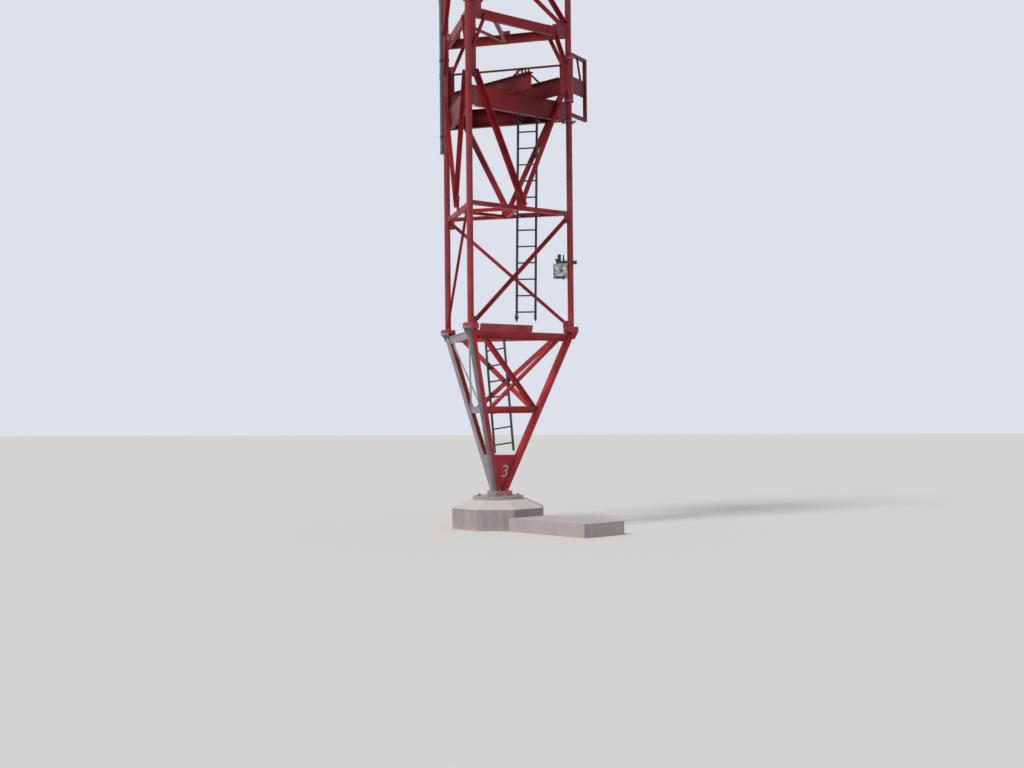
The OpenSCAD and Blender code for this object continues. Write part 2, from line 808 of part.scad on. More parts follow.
plan_brace();
v_brace(face_ab);  // v_brace_ab
v_brace(face_bc);  // v_brace_bc
v_brace(face_ca);  // v_brace_ca
collar_girder(face_ab);  // collar_girder_ab
collar_girder(face_bc);  // collar_girder_bc
collar_girder(face_ca);  // collar_girder_ca
cross_girder(cross_girder_1_x);  // cross_girder_1
cross_girder(cross_girder_2_x);  // cross_girder_2
girder_tie();
corner_bracket();
rear_tie();
ring_2(face_ab);  // ring_2_ab
ring_2(face_bc);  // ring_2_bc
ring_2(face_ca);  // ring_2_ca
upper_plan_brace();
upper_cross(face_ab);  // upper_cross_ab
upper_cross(face_bc);  // upper_cross_bc
upper_cross(face_ca);  // upper_cross_ca
ring_3(face_ab);  // ring_3_ab
ring_3(face_bc);  // ring_3_bc
ring_3(face_ca);  // ring_3_ca
landing_channel();
lower_ladder();
main_ladder();
side_pole();
pole_clips();
box_clamp();
cable_box();
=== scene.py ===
# %% [markdown]
# A lattice radio mast on a pointed foot
#
# The mast has three round legs, angle braces, a collar of girders that carries lifting gear,
# and a base that tapers to one point on a concrete block. Its steel comes in as a finished
# solid model. This lesson gives each surface its finish, and adds the small things that a
# solid model leaves out: bolts, nuts, weld beads and painted marks.

import json
import math
import random

import bmesh
import bpy
from mathutils import Matrix, Vector


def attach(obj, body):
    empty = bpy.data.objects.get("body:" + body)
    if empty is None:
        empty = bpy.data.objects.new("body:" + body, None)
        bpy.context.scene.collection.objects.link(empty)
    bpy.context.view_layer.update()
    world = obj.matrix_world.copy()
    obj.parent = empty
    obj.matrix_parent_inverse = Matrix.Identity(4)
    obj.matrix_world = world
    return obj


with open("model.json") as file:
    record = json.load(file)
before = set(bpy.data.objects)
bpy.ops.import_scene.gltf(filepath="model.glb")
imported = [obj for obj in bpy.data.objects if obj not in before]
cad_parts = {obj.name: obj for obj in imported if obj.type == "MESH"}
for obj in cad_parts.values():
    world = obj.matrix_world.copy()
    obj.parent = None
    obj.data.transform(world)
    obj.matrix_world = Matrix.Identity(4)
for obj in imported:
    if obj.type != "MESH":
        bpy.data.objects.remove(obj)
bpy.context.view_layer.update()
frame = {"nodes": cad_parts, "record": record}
random.seed(7)
print("the solid model holds", len(frame["nodes"]), "pieces")

# %% [markdown]
# The mast's own measures
#
# Everything small is placed from the same few dimensions as the steel: the face width, the
# heights of the rings, and the lean of the base. A piece in a face is placed by how far it
# lies along the face, how far it stands out, and how high it is. That is easier to think in
# than the mast's own x and y, because each of the three faces is then the same.

# %% Measures of the mast, in metres
FACE_WIDTH = 2.44
LEG_DIAMETER = 0.1143
LEG_RING = FACE_WIDTH / math.sqrt(3)
FACE_INWARD = LEG_RING / 2
JOINT_Z = 3.627
RING_1_Z = JOINT_Z + 2.171
COLLAR_Z = RING_1_Z + 1.717
V_TOP_Z = RING_1_Z + 2.542
KNEE_HEIGHT = 0.820
RING_2_Z = V_TOP_Z + KNEE_HEIGHT
RING_3_Z = RING_2_Z + 2.684
TOP_Z = RING_3_Z + 0.190
FOOT_R = 0.105
FOOT_Z = 0.667
BASE_TOP_Z = 3.582
LEAN = math.atan2((LEG_RING - FOOT_R) / 2, BASE_TOP_Z - FOOT_Z)
LEG_TURNS = {"a": 150, "b": 270, "c": 30}
FACE_TURNS = {"ab": 300, "bc": 60, "ca": 180}
print("one leg stands", round(LEG_RING, 3), "m from the axis")

# %% [markdown]
# The camera
#
# The photograph was taken from 2.2 m up, some 26 m away, with a lens of about 49 mm.
# A camera could be placed by eye, but every edge would then be a little off. Here its place
# and its three angles are the ones that carry the mast's known corners onto the picture.

# %% Place the camera
CAMERA_PLACE = Vector((8.2476, -24.3640, 2.21))
CAMERA_HEADING = math.radians(18.097)
CAMERA_PITCH = math.radians(90.928)
CAMERA_ROLL = math.radians(-0.5371)
SENSOR_WIDTH = 36
PICTURE_WIDTH = 1024
LENS_IN_PIXELS = 1398.46

camera = bpy.data.objects.new("camera", bpy.data.cameras.new("camera"))
bpy.context.scene.collection.objects.link(camera)
camera.data.lens = LENS_IN_PIXELS * SENSOR_WIDTH / PICTURE_WIDTH
camera.data.sensor_width = SENSOR_WIDTH
camera.data.clip_end = 300
heading = Matrix.Rotation(CAMERA_HEADING, 4, "Z")
pitch = Matrix.Rotation(CAMERA_PITCH, 4, "X")
roll = Matrix.Rotation(CAMERA_ROLL, 4, "Z")
camera.matrix_world = Matrix.Translation(CAMERA_PLACE) @ heading @ pitch @ roll
bpy.context.scene.camera = camera
print("the lens is", round(camera.data.lens, 1), "mm")

# %% [markdown]
# Shader maths
#
# A finish is mostly sums: a mask times a colour, one minus a mask, a height minus a height.
# Built by hand, each sum is a node and two links. This small class holds a socket and turns
# the ordinary signs into Math nodes, so that a finish reads like the sum that it is.

# %% A socket that can be used in sums
class Level:
    def __init__(self, finish, socket):
        self.finish = finish
        self.socket = socket

    def sum(self, operation, first, second, clamp=False):
        settings = {"operation": operation, "use_clamp": clamp}
        return self.finish.add("ShaderNodeMath", settings, {0: first, 1: second})

    def __add__(self, other):
        return self.sum("ADD", self, other)

    def __sub__(self, other):
        return self.sum("SUBTRACT", self, other)

    def __rsub__(self, other):
        return self.sum("SUBTRACT", other, self)

    def __mul__(self, other):
        return self.sum("MULTIPLY", self, other)

    def __gt__(self, other):
        return self.sum("GREATER_THAN", self, other)

    def kept(self):
        return self.sum("ADD", self, 0.0, clamp=True)

    __radd__ = __add__
    __rmul__ = __mul__


print("levels can be added, subtracted, multiplied and compared")

# %% [markdown]
# A finish and its nodes
#
# Every finish is one material with one main shader. A single method adds any other node: it
# takes the node's type, then its settings, then what goes into its sockets, and it hands
# back the output. Noise, blends and slopes below are short names for the nodes used most. A
# patchy mask is a noise that is cut off below one level and full above another. In the Mix
# node of a blend, the sockets 6 and 7 take the two colours.

# %% A finish, with one method that adds a node
class Finish:
    def __init__(self, name, roughness=0.6, metallic=0.0):
        self.material = bpy.data.materials.new(name)
        self.material.use_nodes = True
        self.tree = self.material.node_tree
        self.shader = self.tree.nodes["Principled BSDF"]
        self.shader.inputs["Roughness"].default_value = roughness
        self.shader.inputs["Metallic"].default_value = metallic

    def plug(self, value, socket):
        if isinstance(value, Level):
            self.tree.links.new(value.socket, socket)
        elif isinstance(value, tuple) and len(value) == 3 and socket.type == "RGBA":
            socket.default_value = (*value, 1.0)
        else:
            socket.default_value = value

    def add(self, kind, settings=None, sockets=None, out=0):
        node = self.tree.nodes.new(kind)
        for name, value in (settings or {}).items():
            setattr(node, name, value)
        for key, value in (sockets or {}).items():
            self.plug(value, node.inputs[key])
        return Level(self, node.outputs[out])

    def place(self):
        return self.add("ShaderNodeNewGeometry")

    def facing(self):
        return self.add("ShaderNodeNewGeometry", out=1)

    def noise(self, scale, detail=4.0, roughness=0.55, stretch=(1, 1, 1), shift=0.0):
        spread = self.add(
            "ShaderNodeVectorMath", {"operation": "MULTIPLY"}, {0: self.place(), 1: stretch}
        )
        moved = self.add(
            "ShaderNodeVectorMath", {"operation": "ADD"}, {0: spread, 1: (shift, shift, shift)}
        )
        sockets = {"Vector": moved, "Scale": scale, "Detail": detail, "Roughness": roughness}
        return self.add("ShaderNodeTexNoise", {}, sockets)

    def slope(self, value, low, high):
        return self.add("ShaderNodeMapRange", {}, {0: value, 1: low, 2: high})

    def patchy(self, low, high, **kind_of_noise):
        return self.slope(self.noise(**kind_of_noise), low, high)

    def blend(self, mask, first, second):
        sockets = {0: mask, 6: first, 7: second}
        return self.add("ShaderNodeMix", {"data_type": "RGBA"}, sockets, out=2)

    def part_of(self, vector, axis):
        return self.add("ShaderNodeSeparateXYZ", {}, {0: vector}, out=axis)

    def along(self, vector, direction):
        settings = {"operation": "DOT_PRODUCT"}
        return self.add("ShaderNodeVectorMath", settings, {0: vector, 1: direction}, out=1)

    def away_from(self, vector, point):
        settings = {"operation": "DISTANCE"}
        return self.add("ShaderNodeVectorMath", settings, {0: vector, 1: point}, out=1)

    def bumped(self, height, distance, strength=1.0):
        sockets = {"Strength": strength, "Distance": distance, "Height": height}
        self.plug(self.add("ShaderNodeBump", {}, sockets), self.shader.inputs["Normal"])

    def colour(self, value):
        self.plug(value, self.shader.inputs["Base Color"])

    def rough(self, value):
        self.plug(value, self.shader.inputs["Roughness"])


print("a finish can add any node in one call")

# %% [markdown]
# Red oxide paint
#
# The steel is brushed with a red oxide paint that has chalked in the sun. Up close it has
# pinkish, dusty patches, darker runs where the coat is thick, and rust that has come through in
# specks. A broad noise sets the fading, a long vertical noise sets the runs, and a fine noise,
# cut off high, leaves only the specks. The red grows darker above the first ring, up to the
# collar. Around one given point it is brighter, and that fades out with the distance from the
# point.

# %% The red paint
RED_DEEP = (0.250, 0.014, 0.020)
RED_BRIGHT = (0.420, 0.030, 0.038)
RED_CHALK = (0.640, 0.300, 0.320)
RUST = (0.160, 0.060, 0.026)
DUST = (0.420, 0.330, 0.250)


def shaded(colour, share):
    return tuple(level * share for level in colour)


def paint_red(
    name, chalky=0.18, bleached=0.0, dusting=0.4, shade=1.0,
    grey_edge=None, primer=1.0, brighter_at=None,
):
    finish = Finish(name, roughness=0.5)
    finish.shader.inputs["Specular IOR Level"].default_value = 0.18
    fading = finish.patchy(0.36, 0.64, scale=3.1, detail=5.0)
    runs = finish.patchy(0.45, 0.75, scale=9.0, detail=3.0, stretch=(1, 1, 0.12))
    patches = finish.patchy(0.58, 0.78, scale=14.0, detail=6.0, roughness=0.65, shift=4.0)
    specks = finish.patchy(0.70, 0.76, scale=70.0, detail=3.0, roughness=0.6, shift=9.0)
    paint = finish.blend(fading, shaded(RED_DEEP, shade), shaded(RED_BRIGHT, shade))
    paint = finish.blend(runs * 0.35, paint, shaded(RED_DEEP, shade))
    paint = finish.blend((patches * chalky + bleached).kept(), paint, RED_CHALK)
    # The red grows darker with height, from the first ring to the collar.
    higher_up = finish.slope(finish.part_of(finish.place(), 2), RING_1_Z, COLLAR_Z)
    paint = finish.blend(higher_up * 0.32, paint, shaded(RED_DEEP, shade * 0.4))
    # Around the given point the red is brighter, fading out with the distance.
    if brighter_at:
        away = finish.slope(finish.away_from(finish.place(), brighter_at), 0.35, 1.25)
        paint = finish.blend(((1 - away) * 0.75).kept(), paint, RED_BRIGHT)
    if grey_edge:
        paint = grey_on_one_side(finish, paint, *grey_edge, primer)
    paint = finish.blend(specks * 0.8, paint, RUST)
    upward = finish.slope(finish.part_of(finish.facing(), 2), 0.5, 0.95)
    dusty = finish.patchy(0.35, 0.7, scale=11.0, detail=4.0, shift=2.0)
    paint = finish.blend((upward * dusty * dusting).kept(), paint, DUST)
    finish.colour(paint)
    finish.rough((0.42 + patches * 0.25 + specks * 0.3 + upward * dusty * 0.2).kept())
    brushed = finish.noise(scale=60.0, detail=3.0, roughness=0.5, stretch=(1, 1, 0.25), shift=6.0)
    finish.bumped(brushed * 0.6 + specks * 0.8 + patches * 0.4, 0.0008)
    return finish


print("the red paint goes from", RED_DEEP, "to", RED_CHALK)

# %% [markdown]
# Grey primer on one side of the base
#
# The base still shows grey primer on the face between the left and the front leg, while its
# other faces have their red coat. The beam, the braces and the plate of that face are grey
# all over. On the two round legs and the pad the coat stops at a straight line, so there the
# mask is how far a point lies out of that leaning face. It doesn't depend on the camera.

# %% The grey side of the base
PRIMER = (0.278, 0.258, 0.276)
PRIMER_PALE = (0.408, 0.380, 0.392)
GREY_TURN = math.radians(210)
GREY_SIDE = Vector((
    math.cos(LEAN) * math.cos(GREY_TURN), math.cos(LEAN) * math.sin(GREY_TURN), -math.sin(LEAN)
))
GREY_POINT = Vector((
    FOOT_R / 2 * math.cos(GREY_TURN), FOOT_R / 2 * math.sin(GREY_TURN), FOOT_Z
))


def grey_on_one_side(finish, paint, at_foot, higher_up, share):
    rising = finish.slope(finish.part_of(finish.place(), 2), FOOT_Z, 1.6)
    edge = rising * (higher_up - at_foot) + (GREY_SIDE.dot(GREY_POINT) + at_foot)
    beyond = finish.along(finish.place(), tuple(GREY_SIDE)) > edge
    clouds = finish.patchy(0.35, 0.7, scale=5.0, detail=6.0, roughness=0.6, shift=1.0)
    primer = finish.blend(clouds, shaded(PRIMER, share), shaded(PRIMER_PALE, share))
    return finish.blend(beyond, paint, primer)


red_paint = paint_red("red_oxide_paint")
leg_paint = paint_red("chalky_leg_paint", chalky=0.35, bleached=0.10, shade=0.95)
base_paint = paint_red("bright_base_paint", bleached=0.03, shade=1.28)
TUBE_EDGE = (-0.005, 0.018)
PAD_EDGE = (0.028, 0.028)
BRIGHTER_SPOT = (0, -LEG_RING, COLLAR_Z + 0.22)
half_grey_paint = paint_red(
    "red_paint_over_grey_primer", bleached=0.05, shade=1.2, grey_edge=TUBE_EDGE, primer=0.66
)
# Painted shade: the red side of the left base leg is this coat at about half brightness.
shaded_leg_paint = paint_red(
    "painted_shade_red_over_grey_primer", shade=0.55, grey_edge=TUBE_EDGE, primer=0.9
)
# The pad's coat is bleached, and brightened further with painted light; the sleeve rings share
# it.
pad_paint = paint_red(
    "pad_paint_bleached_with_painted_light", chalky=0.5, bleached=0.8, dusting=0.8, shade=1.6, grey_edge=PAD_EDGE
)
# The collar's coat: a deeper red on its girders, and painted shade on its ties and bracket.
collar_paint = paint_red(
    "deep_red_paint_and_painted_shade", chalky=0.05, dusting=0.2, shade=0.56, brighter_at=BRIGHTER_SPOT
)
print("seven coats of red are ready")

# %% [markdown]
# The plain metal finishes
#
# The ladders are nearly black, the side pole is dull zinc, and the box's clamp is rusty. They
# share one recipe: two tones mixed by a cloudy noise, a little rust, and a fine bump. Only
# the tones and the amounts differ.

# %% Dark, rusty, zinc and pale finishes
def plain_metal(name, deep, pale, rust, roughness, metallic=0.0, grain=18.0):
    finish = Finish(name, roughness, metallic)
    clouds = finish.patchy(0.35, 0.68, scale=grain, detail=6.0, roughness=0.62)
    spots = finish.patchy(0.64, 0.74, scale=grain * 4, detail=4.0, roughness=0.6, shift=5.0)
    tone = finish.blend(clouds, deep, pale)
    finish.colour(finish.blend(spots * rust, tone, RUST))
    finish.rough((clouds * 0.15 + (roughness - 0.08)).kept())
    finish.bumped(clouds * 0.4 + spots * 0.6, 0.0006)
    return finish


ladder_paint = plain_metal(
    "dark_ladder_paint", (0.008, 0.010, 0.017), (0.022, 0.027, 0.042), rust=0.5, roughness=0.5
)
rusty_steel = plain_metal(
    "rusty_clamp_steel", (0.040, 0.034, 0.034), (0.150, 0.118, 0.105), rust=0.6, roughness=0.65
)
pole_zinc = plain_metal(
    "dull_zinc", (0.085, 0.100, 0.135), (0.150, 0.170, 0.205), rust=0.2, roughness=0.5,
    metallic=0.35,
)
plate_paint = plain_metal(
    "grey_plate_paint", (0.270, 0.250, 0.260), (0.420, 0.395, 0.400), rust=0.5, roughness=0.6
)
grey_primer = plain_metal(
    "grey_primer", PRIMER, PRIMER_PALE, rust=0.4, roughness=0.6, grain=5.0
)
mark_white = plain_metal(
    "brushed_white", (0.560, 0.440, 0.440), (0.780, 0.700, 0.700), rust=0.2, roughness=0.6,
    grain=40.0,
)
bolt_metal = plain_metal(
    "bolt_metal", (0.110, 0.090, 0.085), (0.300, 0.280, 0.270), rust=0.7, roughness=0.55,
    metallic=0.4, grain=60.0,
)
print("seven plain finishes are ready")

# %% [markdown]
# The cable box's worn paint
#
# The box has the most uneven coat of all: bleached to nearly white in places, dark where the
# paint has gone, and rusty in spots. Three noises of different sizes are laid over each
# other, each cut sharply, so that the patches keep clear edges.

# %% Blotchy paint
def blotchy_coat():
    finish = Finish("blotchy_box_paint", roughness=0.6)
    patches = finish.patchy(0.42, 0.58, scale=12.0, detail=5.0, roughness=0.6)
    bare = finish.patchy(0.56, 0.66, scale=21.0, detail=4.0, roughness=0.6, shift=3.0)
    rusty = finish.patchy(0.60, 0.70, scale=26.0, detail=4.0, roughness=0.6, shift=8.0)
    tone = finish.blend(patches, (0.300, 0.270, 0.262), (0.860, 0.820, 0.790))
    tone = finish.blend(bare * 0.75, tone, (0.085, 0.078, 0.085))
    tone = finish.blend(rusty * 0.7, tone, (0.480, 0.230, 0.110))
    finish.colour(tone)
    finish.rough((patches * 0.15 + 0.5 + rusty * 0.2).kept())
    finish.bumped(patches * 0.5 + bare * -0.5 + rusty * 0.4, 0.0008)
    return finish


box_paint = blotchy_coat()
print("the box's coat is ready")

# %% [markdown]
# Concrete
#
# The block was cast in boards and left as it came. Its top is paler, partly with dust and partly
# with painted light from above, and its sides are a cooler grey with upright stains, small holes
# where air was trapped, and sand splashed against the foot. The stains are a noise drawn out into
# long upright streaks.

# %% The concrete
CONCRETE_PALE = (0.640, 0.600, 0.570)
CONCRETE_SIDE = (0.400, 0.350, 0.360)
CONCRETE_DARK = (0.280, 0.250, 0.262)
SAND = (0.520, 0.400, 0.300)


def cast_concrete(name, side_share, lit_and_dusty_top):
    finish = Finish(name, roughness=0.9)
    height = finish.part_of(finish.place(), 2)
    upward = finish.slope(finish.part_of(finish.facing(), 2), 0.25, 0.75)
    clouds = finish.patchy(0.32, 0.68, scale=2.6, detail=6.0, roughness=0.6)
    streaks = finish.patchy(0.42, 0.7, scale=7.0, detail=4.0, roughness=0.6, stretch=(1, 1, 0.08))
    holes = finish.patchy(0.70, 0.745, scale=46.0, detail=2.0, roughness=0.5, shift=3.0)
    grit = finish.noise(scale=150.0, detail=3.0, roughness=0.6)
    side = finish.blend(
        clouds * 0.5, shaded(CONCRETE_SIDE, side_share), shaded(CONCRETE_DARK, side_share)
    )
    side = finish.blend(streaks * 0.25, side, CONCRETE_PALE)
    # Upward faces take the paler top tone: dust, and painted light from above.
    tone = finish.blend(upward, side, lit_and_dusty_top)
    tone = finish.blend(clouds * upward * 0.3, tone, CONCRETE_SIDE)
    tone = finish.blend(holes * 0.75, tone, CONCRETE_DARK)
    foot = 1 - finish.slope(height + clouds * 0.06, 0.03, 0.12)
    finish.colour(finish.blend(foot * 0.7, tone, SAND))
    finish.rough((0.84 + clouds * 0.1).kept())
    finish.bumped(grit * 0.25 + clouds * 0.4 - holes * 1.2, 0.003)
    return finish


concrete = cast_concrete("cast_concrete", 0.93, CONCRETE_PALE)
# The step is a brighter copy of the block's concrete, with painted light on its sides.
step_concrete_with_painted_light = cast_concrete("step_concrete_with_painted_light", 1.15, (0.530, 0.475, 0.462))
print("the block and the step have their concrete")

# %% [markdown]
# Give each piece of the solid model its finish
#
# Each solid already names a material slot in its record. The slot chooses the finish here, so a
# piece that is added later gets one too. Some pieces have a coat of their own. Two legs of the
# base and the pad are half grey, and everything in the base's left face is grey. The red of the
# left base leg is darkened as painted shade, and the pad's red is paler with painted light. The
# girders of the collar have a deeper red than the legs, which are more bleached, and the collar's
# ties and corner bracket take that dark coat as painted shade.

# %% Dress the solid model
SLOT_FINISH = {
    "red_paint": red_paint, "grey_paint": plate_paint, "dark_steel": ladder_paint,
    "galvanised": pole_zinc, "box_paint": box_paint, "concrete": concrete,
}
NODE_FINISH = {
    "base_leg_a": shaded_leg_paint, "base_leg_b": half_grey_paint, "base_leg_c": base_paint,
    "foot_pad": pad_paint, "foundation_step": step_concrete_with_painted_light, "box_clamp": rusty_steel,
    "landing_channel": leg_paint, "leg_a": leg_paint, "leg_b": leg_paint, "leg_c": leg_paint,
    "corner_bracket": collar_paint, "girder_tie": collar_paint, "rear_tie": collar_paint,
}
GROUP_FINISH = {
    "collar_girder": collar_paint, "cross_girder": collar_paint,
    "foot_plate": base_paint, "base_beam": base_paint, "base_bracing": base_paint,
}
GREY_ON_LEFT_FACE = ("foot_plate", "base_beam", "base_bracing")


def finish_of(part):
    name = part["node"]
    if name in NODE_FINISH:
        return NODE_FINISH[name]
    group, _, face = name.rpartition("_")
    if group in GREY_ON_LEFT_FACE and face == "ab":
        return grey_primer
    if group in GROUP_FINISH:
        return GROUP_FINISH[group]
    return SLOT_FINISH[part["material_slot"]]


for part in frame["record"]["subparts"]:
    finish = finish_of(part)
    mesh = frame["nodes"][part["node"]].data
    mesh.materials.clear()
    mesh.materials.append(finish.material)

# %% [markdown]
# Turns and shifts
#
# Three short functions come back in nearly every piece below: one turns the z axis towards a
# direction, one shifts a place in its own directions, and one finds a point on a circle.

# %% Turns, shifts and circles
def turned_to(direction):
    return Vector(direction).to_track_quat("Z", "Y").to_matrix().to_4x4()


def shifted(place, x, y, z):
    return place @ Matrix.Translation((x, y, z))


def on_circle(radius, turn, up=0.0):
    return Vector((radius * math.cos(turn), radius * math.sin(turn), up))


print("a quarter turn at 1 m leads to", tuple(round(x, 3) for x in on_circle(1, math.pi / 2)))

# %% [markdown]
# Small pieces from a few plain shapes
#
# Bolts, weld beads and small plates come by the hundred, so each kind is gathered into one
# mesh. This class holds such a mesh and knows the plain shapes: cones, boxes, rods, pipes
# and flat ribbons. A pipe and a ribbon are rings of points with a skin from each to the next.

# %% Plain shapes in one mesh
class Shapes:
    def __init__(self, name, finish):
        self.name = name
        self.finish = finish
        self.shape = bmesh.new()

    def cone(self, place, sides, low, high, length):
        middle = shifted(place, 0, 0, length / 2)
        bmesh.ops.create_cone(
            self.shape, cap_ends=True, segments=sides, radius1=low, radius2=high,
            depth=length, matrix=middle,
        )

    def box(self, place, size):
        bmesh.ops.create_cube(self.shape, size=1.0, matrix=place @ Matrix.Diagonal((*size, 1.0)))

    def rod(self, start, end, radius, sides=12):
        run = end - start
        self.cone(Matrix.Translation(start) @ turned_to(run), sides, radius, radius, run.length)

    def ring(self, place, spots):
        return [self.shape.verts.new(place @ spot) for spot in spots]

    def skin(self, first, second):
        for k in range(len(first)):
            self.shape.faces.new((first[k - 1], first[k], second[k], second[k - 1]))

    def pipe(self, place, outer, inner, length, sides=32):
        turns = [k * math.tau / sides for k in range(sides)]
        rings = [
            self.ring(place, [on_circle(radius, turn, up) for turn in turns])
            for radius, up in ((outer, 0), (outer, length), (inner, length), (inner, 0))
        ]
        for i, ring in enumerate(rings):
            self.skin(ring, rings[(i + 1) % 4])

    def ribbon(self, place, points, width, thickness):
        sections = []
        for i, point in enumerate(points):
            ahead = points[min(i + 1, len(points) - 1)] - points[max(i - 1, 0)]
            across = Vector((-ahead.y, ahead.x, 0)).normalized() * width / 2
            edge = [point + across, point - across]
            lifted = [spot + Vector((0, 0, thickness)) for spot in edge]
            sections.append(self.ring(place, (*edge, *reversed(lifted))))
        for first, second in zip(sections, sections[1:]):
            self.skin(first, second)
        for end in (sections[0], sections[-1]):
            self.shape.faces.new(end)


print("plain shapes are ready")

# %% [markdown]
# Bolts and weld beads
#
# A heap adds the two things that a steel mast has most of, and becomes one piece at the end.
# A bolt is a washer, a six-sided head with its top corner taken off, and a nut with the end
# of the thread on the far side. Heads are turned at random, as a spanner leaves them. A bead
# is a row of five-sided rings along a line, each of a slightly different size.

# %% A heap of shapes that becomes one piece
class Heap(Shapes):
    def head(self, place, size):
        washer = size * 0.16
        width = size * 0.88
        height = size * 0.5
        self.cone(place, 14, size, size, washer)
        turned = place @ Matrix.Rotation(random.uniform(0, 1), 4, "Z")
        self.cone(shifted(turned, 0, 0, washer), 6, width, width, height)
        self.cone(shifted(turned, 0, 0, washer + height), 6, width, size * 0.7, size * 0.14)

    def bolt(self, point, direction, size=0.018, grip=0.0):
        place = Matrix.Translation(point) @ turned_to(direction)
        self.head(place, size)
        if grip:
            far = shifted(place, 0, 0, -grip) @ Matrix.Rotation(math.pi, 4, "X")
            self.head(far, size)
            self.cone(far, 8, size * 0.45, size * 0.4, size * 1.3)

    def bead(self, points, radius=0.005, step=0.014):
        spots = []
        for first, last in zip(points, points[1:]):
            count = max(1, round((last - first).length / step))
            spots += [first.lerp(last, i / count) for i in range(count)]
        spots.append(points[-1])
        before = None
        for i, spot in enumerate(spots):
            ahead = spots[min(i + 1, len(spots) - 1)] - spots[max(i - 1, 0)]
            size = radius * random.uniform(0.7, 1.15)
            corners = [on_circle(size, k * math.tau / 5) for k in range(5)]
            ring = self.ring(Matrix.Translation(spot) @ turned_to(ahead), corners)
            if before:
                self.skin(before, ring)
            before = ring

    def piece(self):
        bmesh.ops.recalc_face_normals(self.shape, faces=self.shape.faces)
        mesh = bpy.data.meshes.new(self.name)
        self.shape.to_mesh(mesh)
        self.shape.free()
        made = bpy.data.objects.new(self.name, mesh)
        bpy.context.scene.collection.objects.link(made)
        mesh.materials.append(self.finish.material)
        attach(made, "root")
        print(self.name, "has", len(mesh.polygons), "faces")


print("bolts and beads are ready")

# %% [markdown]
# Places on the mast
#
# Three short functions turn a place on a face, on a leaning face of the base, or beside a leg
# into the mast's own metres. Each takes how far along, how far out and how high, and the
# direction that a bolt must point there comes from the same turn.

# %% Places on the faces and legs
SLOPE_LENGTH = (BASE_TOP_Z - FOOT_Z) / math.cos(LEAN)
UPWARD = (0, 0, 1)


def on_face(face, along, out, up):
    turn = Matrix.Rotation(math.radians(FACE_TURNS[face]), 4, "Z")
    return turn @ Vector((along, -FACE_INWARD - out, up))


def face_out(face):
    return Matrix.Rotation(math.radians(FACE_TURNS[face]), 3, "Z") @ Vector((0, -1, 0))


def base_frame(face):
    turn = Matrix.Rotation(math.radians(FACE_TURNS[face]), 4, "Z")
    return shifted(turn, 0, -FOOT_R / 2, FOOT_Z) @ Matrix.Rotation(LEAN, 4, "X")


def on_base_face(face, along, out, up):
    return base_frame(face) @ Vector((along, -out, up))


def base_face_out(face):
    return base_frame(face).to_3x3() @ Vector((0, -1, 0))


def leg_along(up):
    foot = FOOT_R * math.sqrt(3) / 2
    return foot + (LEG_RING * math.sqrt(3) / 2 - foot) * up / SLOPE_LENGTH


def by_leg(leg, out, side, up):
    turn = Matrix.Rotation(math.radians(LEG_TURNS[leg]), 4, "Z")
    return turn @ Vector((LEG_RING + out, side, up))


def leg_frame(leg):
    turn = Matrix.Rotation(math.radians(LEG_TURNS[leg]), 4, "Z")
    return Matrix.Translation(by_leg(leg, 0, 0, 0)) @ turn


print("the base leans", round(math.degrees(LEAN), 1), "degrees")

# %% [markdown]
# Rows of bolts
#
# Every brace ends on a plate that is welded to a leg, and bolts hold it there: two or three
# in a row along the brace, through both thicknesses. The rows are given by where the brace
# starts and which way it runs, so that they stay on its middle line. The girders and the
# level members of the rings have two upright rows at each end.

# %% Three ways to lay a row of bolts
PLATE_OUT = 0.006
BRACE_OUT = 0.014
SMALL_BOLT, MIDDLE_BOLT, V_BOLT, LARGE_BOLT = 0.014, 0.015, 0.016, 0.017
BRACE_GRIP, RING_1_GRIP, RING_GRIP, GIRDER_GRIP = 0.022, 0.022, 0.024, 0.012


def row_of_bolts(heap, face, start, toward, steps, out, size):
    run = (Vector(toward) - Vector(start)).normalized()
    for step in steps:
        spot = Vector(start) + run * step
        heap.bolt(on_face(face, spot[0], out, spot[1]), face_out(face), size, BRACE_GRIP)


def both_ends(heap, face, low, high, low_steps, high_steps):
    row_of_bolts(heap, face, low, high, low_steps, BRACE_OUT, SMALL_BOLT)
    row_of_bolts(heap, face, high, low, high_steps, BRACE_OUT, SMALL_BOLT)


def upright_row(heap, face, along, heights, size, grip):
    for up in heights:
        heap.bolt(on_face(face, along, PLATE_OUT, up), face_out(face), size, grip)


print("bolts are", 2000 * SMALL_BOLT, "to", 2000 * LARGE_BOLT, "mm wide at the washer")

# %% [markdown]
# Bolts in the faces
#
# The diagonal, the V braces, the knees and the crossed braces each have a middle line, given
# by its two ends. The loop over both sides mirrors them. The V braces meet near the middle
# of the first ring, and the left one runs on a little past it.

# %% Bolts along the braces
HALF = FACE_WIDTH / 2
V_OUT = 0.016
BRACE_END = 0.100
DIAGONAL_INSET, DIAGONAL_LIFT = 0.089, 0.032
V_END, V_FOOT = 0.106, 0.060
V_AIMS = {-1: 0.025, 1: 0.060}
V_APEX_Z = RING_1_Z + 0.090
V_SLOPE = (V_TOP_Z - V_APEX_Z) / HALF
KNEE_SLOPE = 2.1
CROSS_INSET = 0.040
CROSS_SLOPE = (RING_3_Z - RING_2_Z - 2 * CROSS_INSET) / FACE_WIDTH
RING_BOLTS_ALONG, RING_BOLT_STEP = (0.955, 1.020), 0.045
UPPER_RING_HEIGHTS = [
    ring + step for ring in (RING_2_Z, RING_3_Z) for step in (-RING_BOLT_STEP, RING_BOLT_STEP)
]
GIRDER_BOLTS_ALONG = (1.058, 1.110)
GIRDER_BOLT_HEIGHTS = (7.578, 7.655, 7.732)


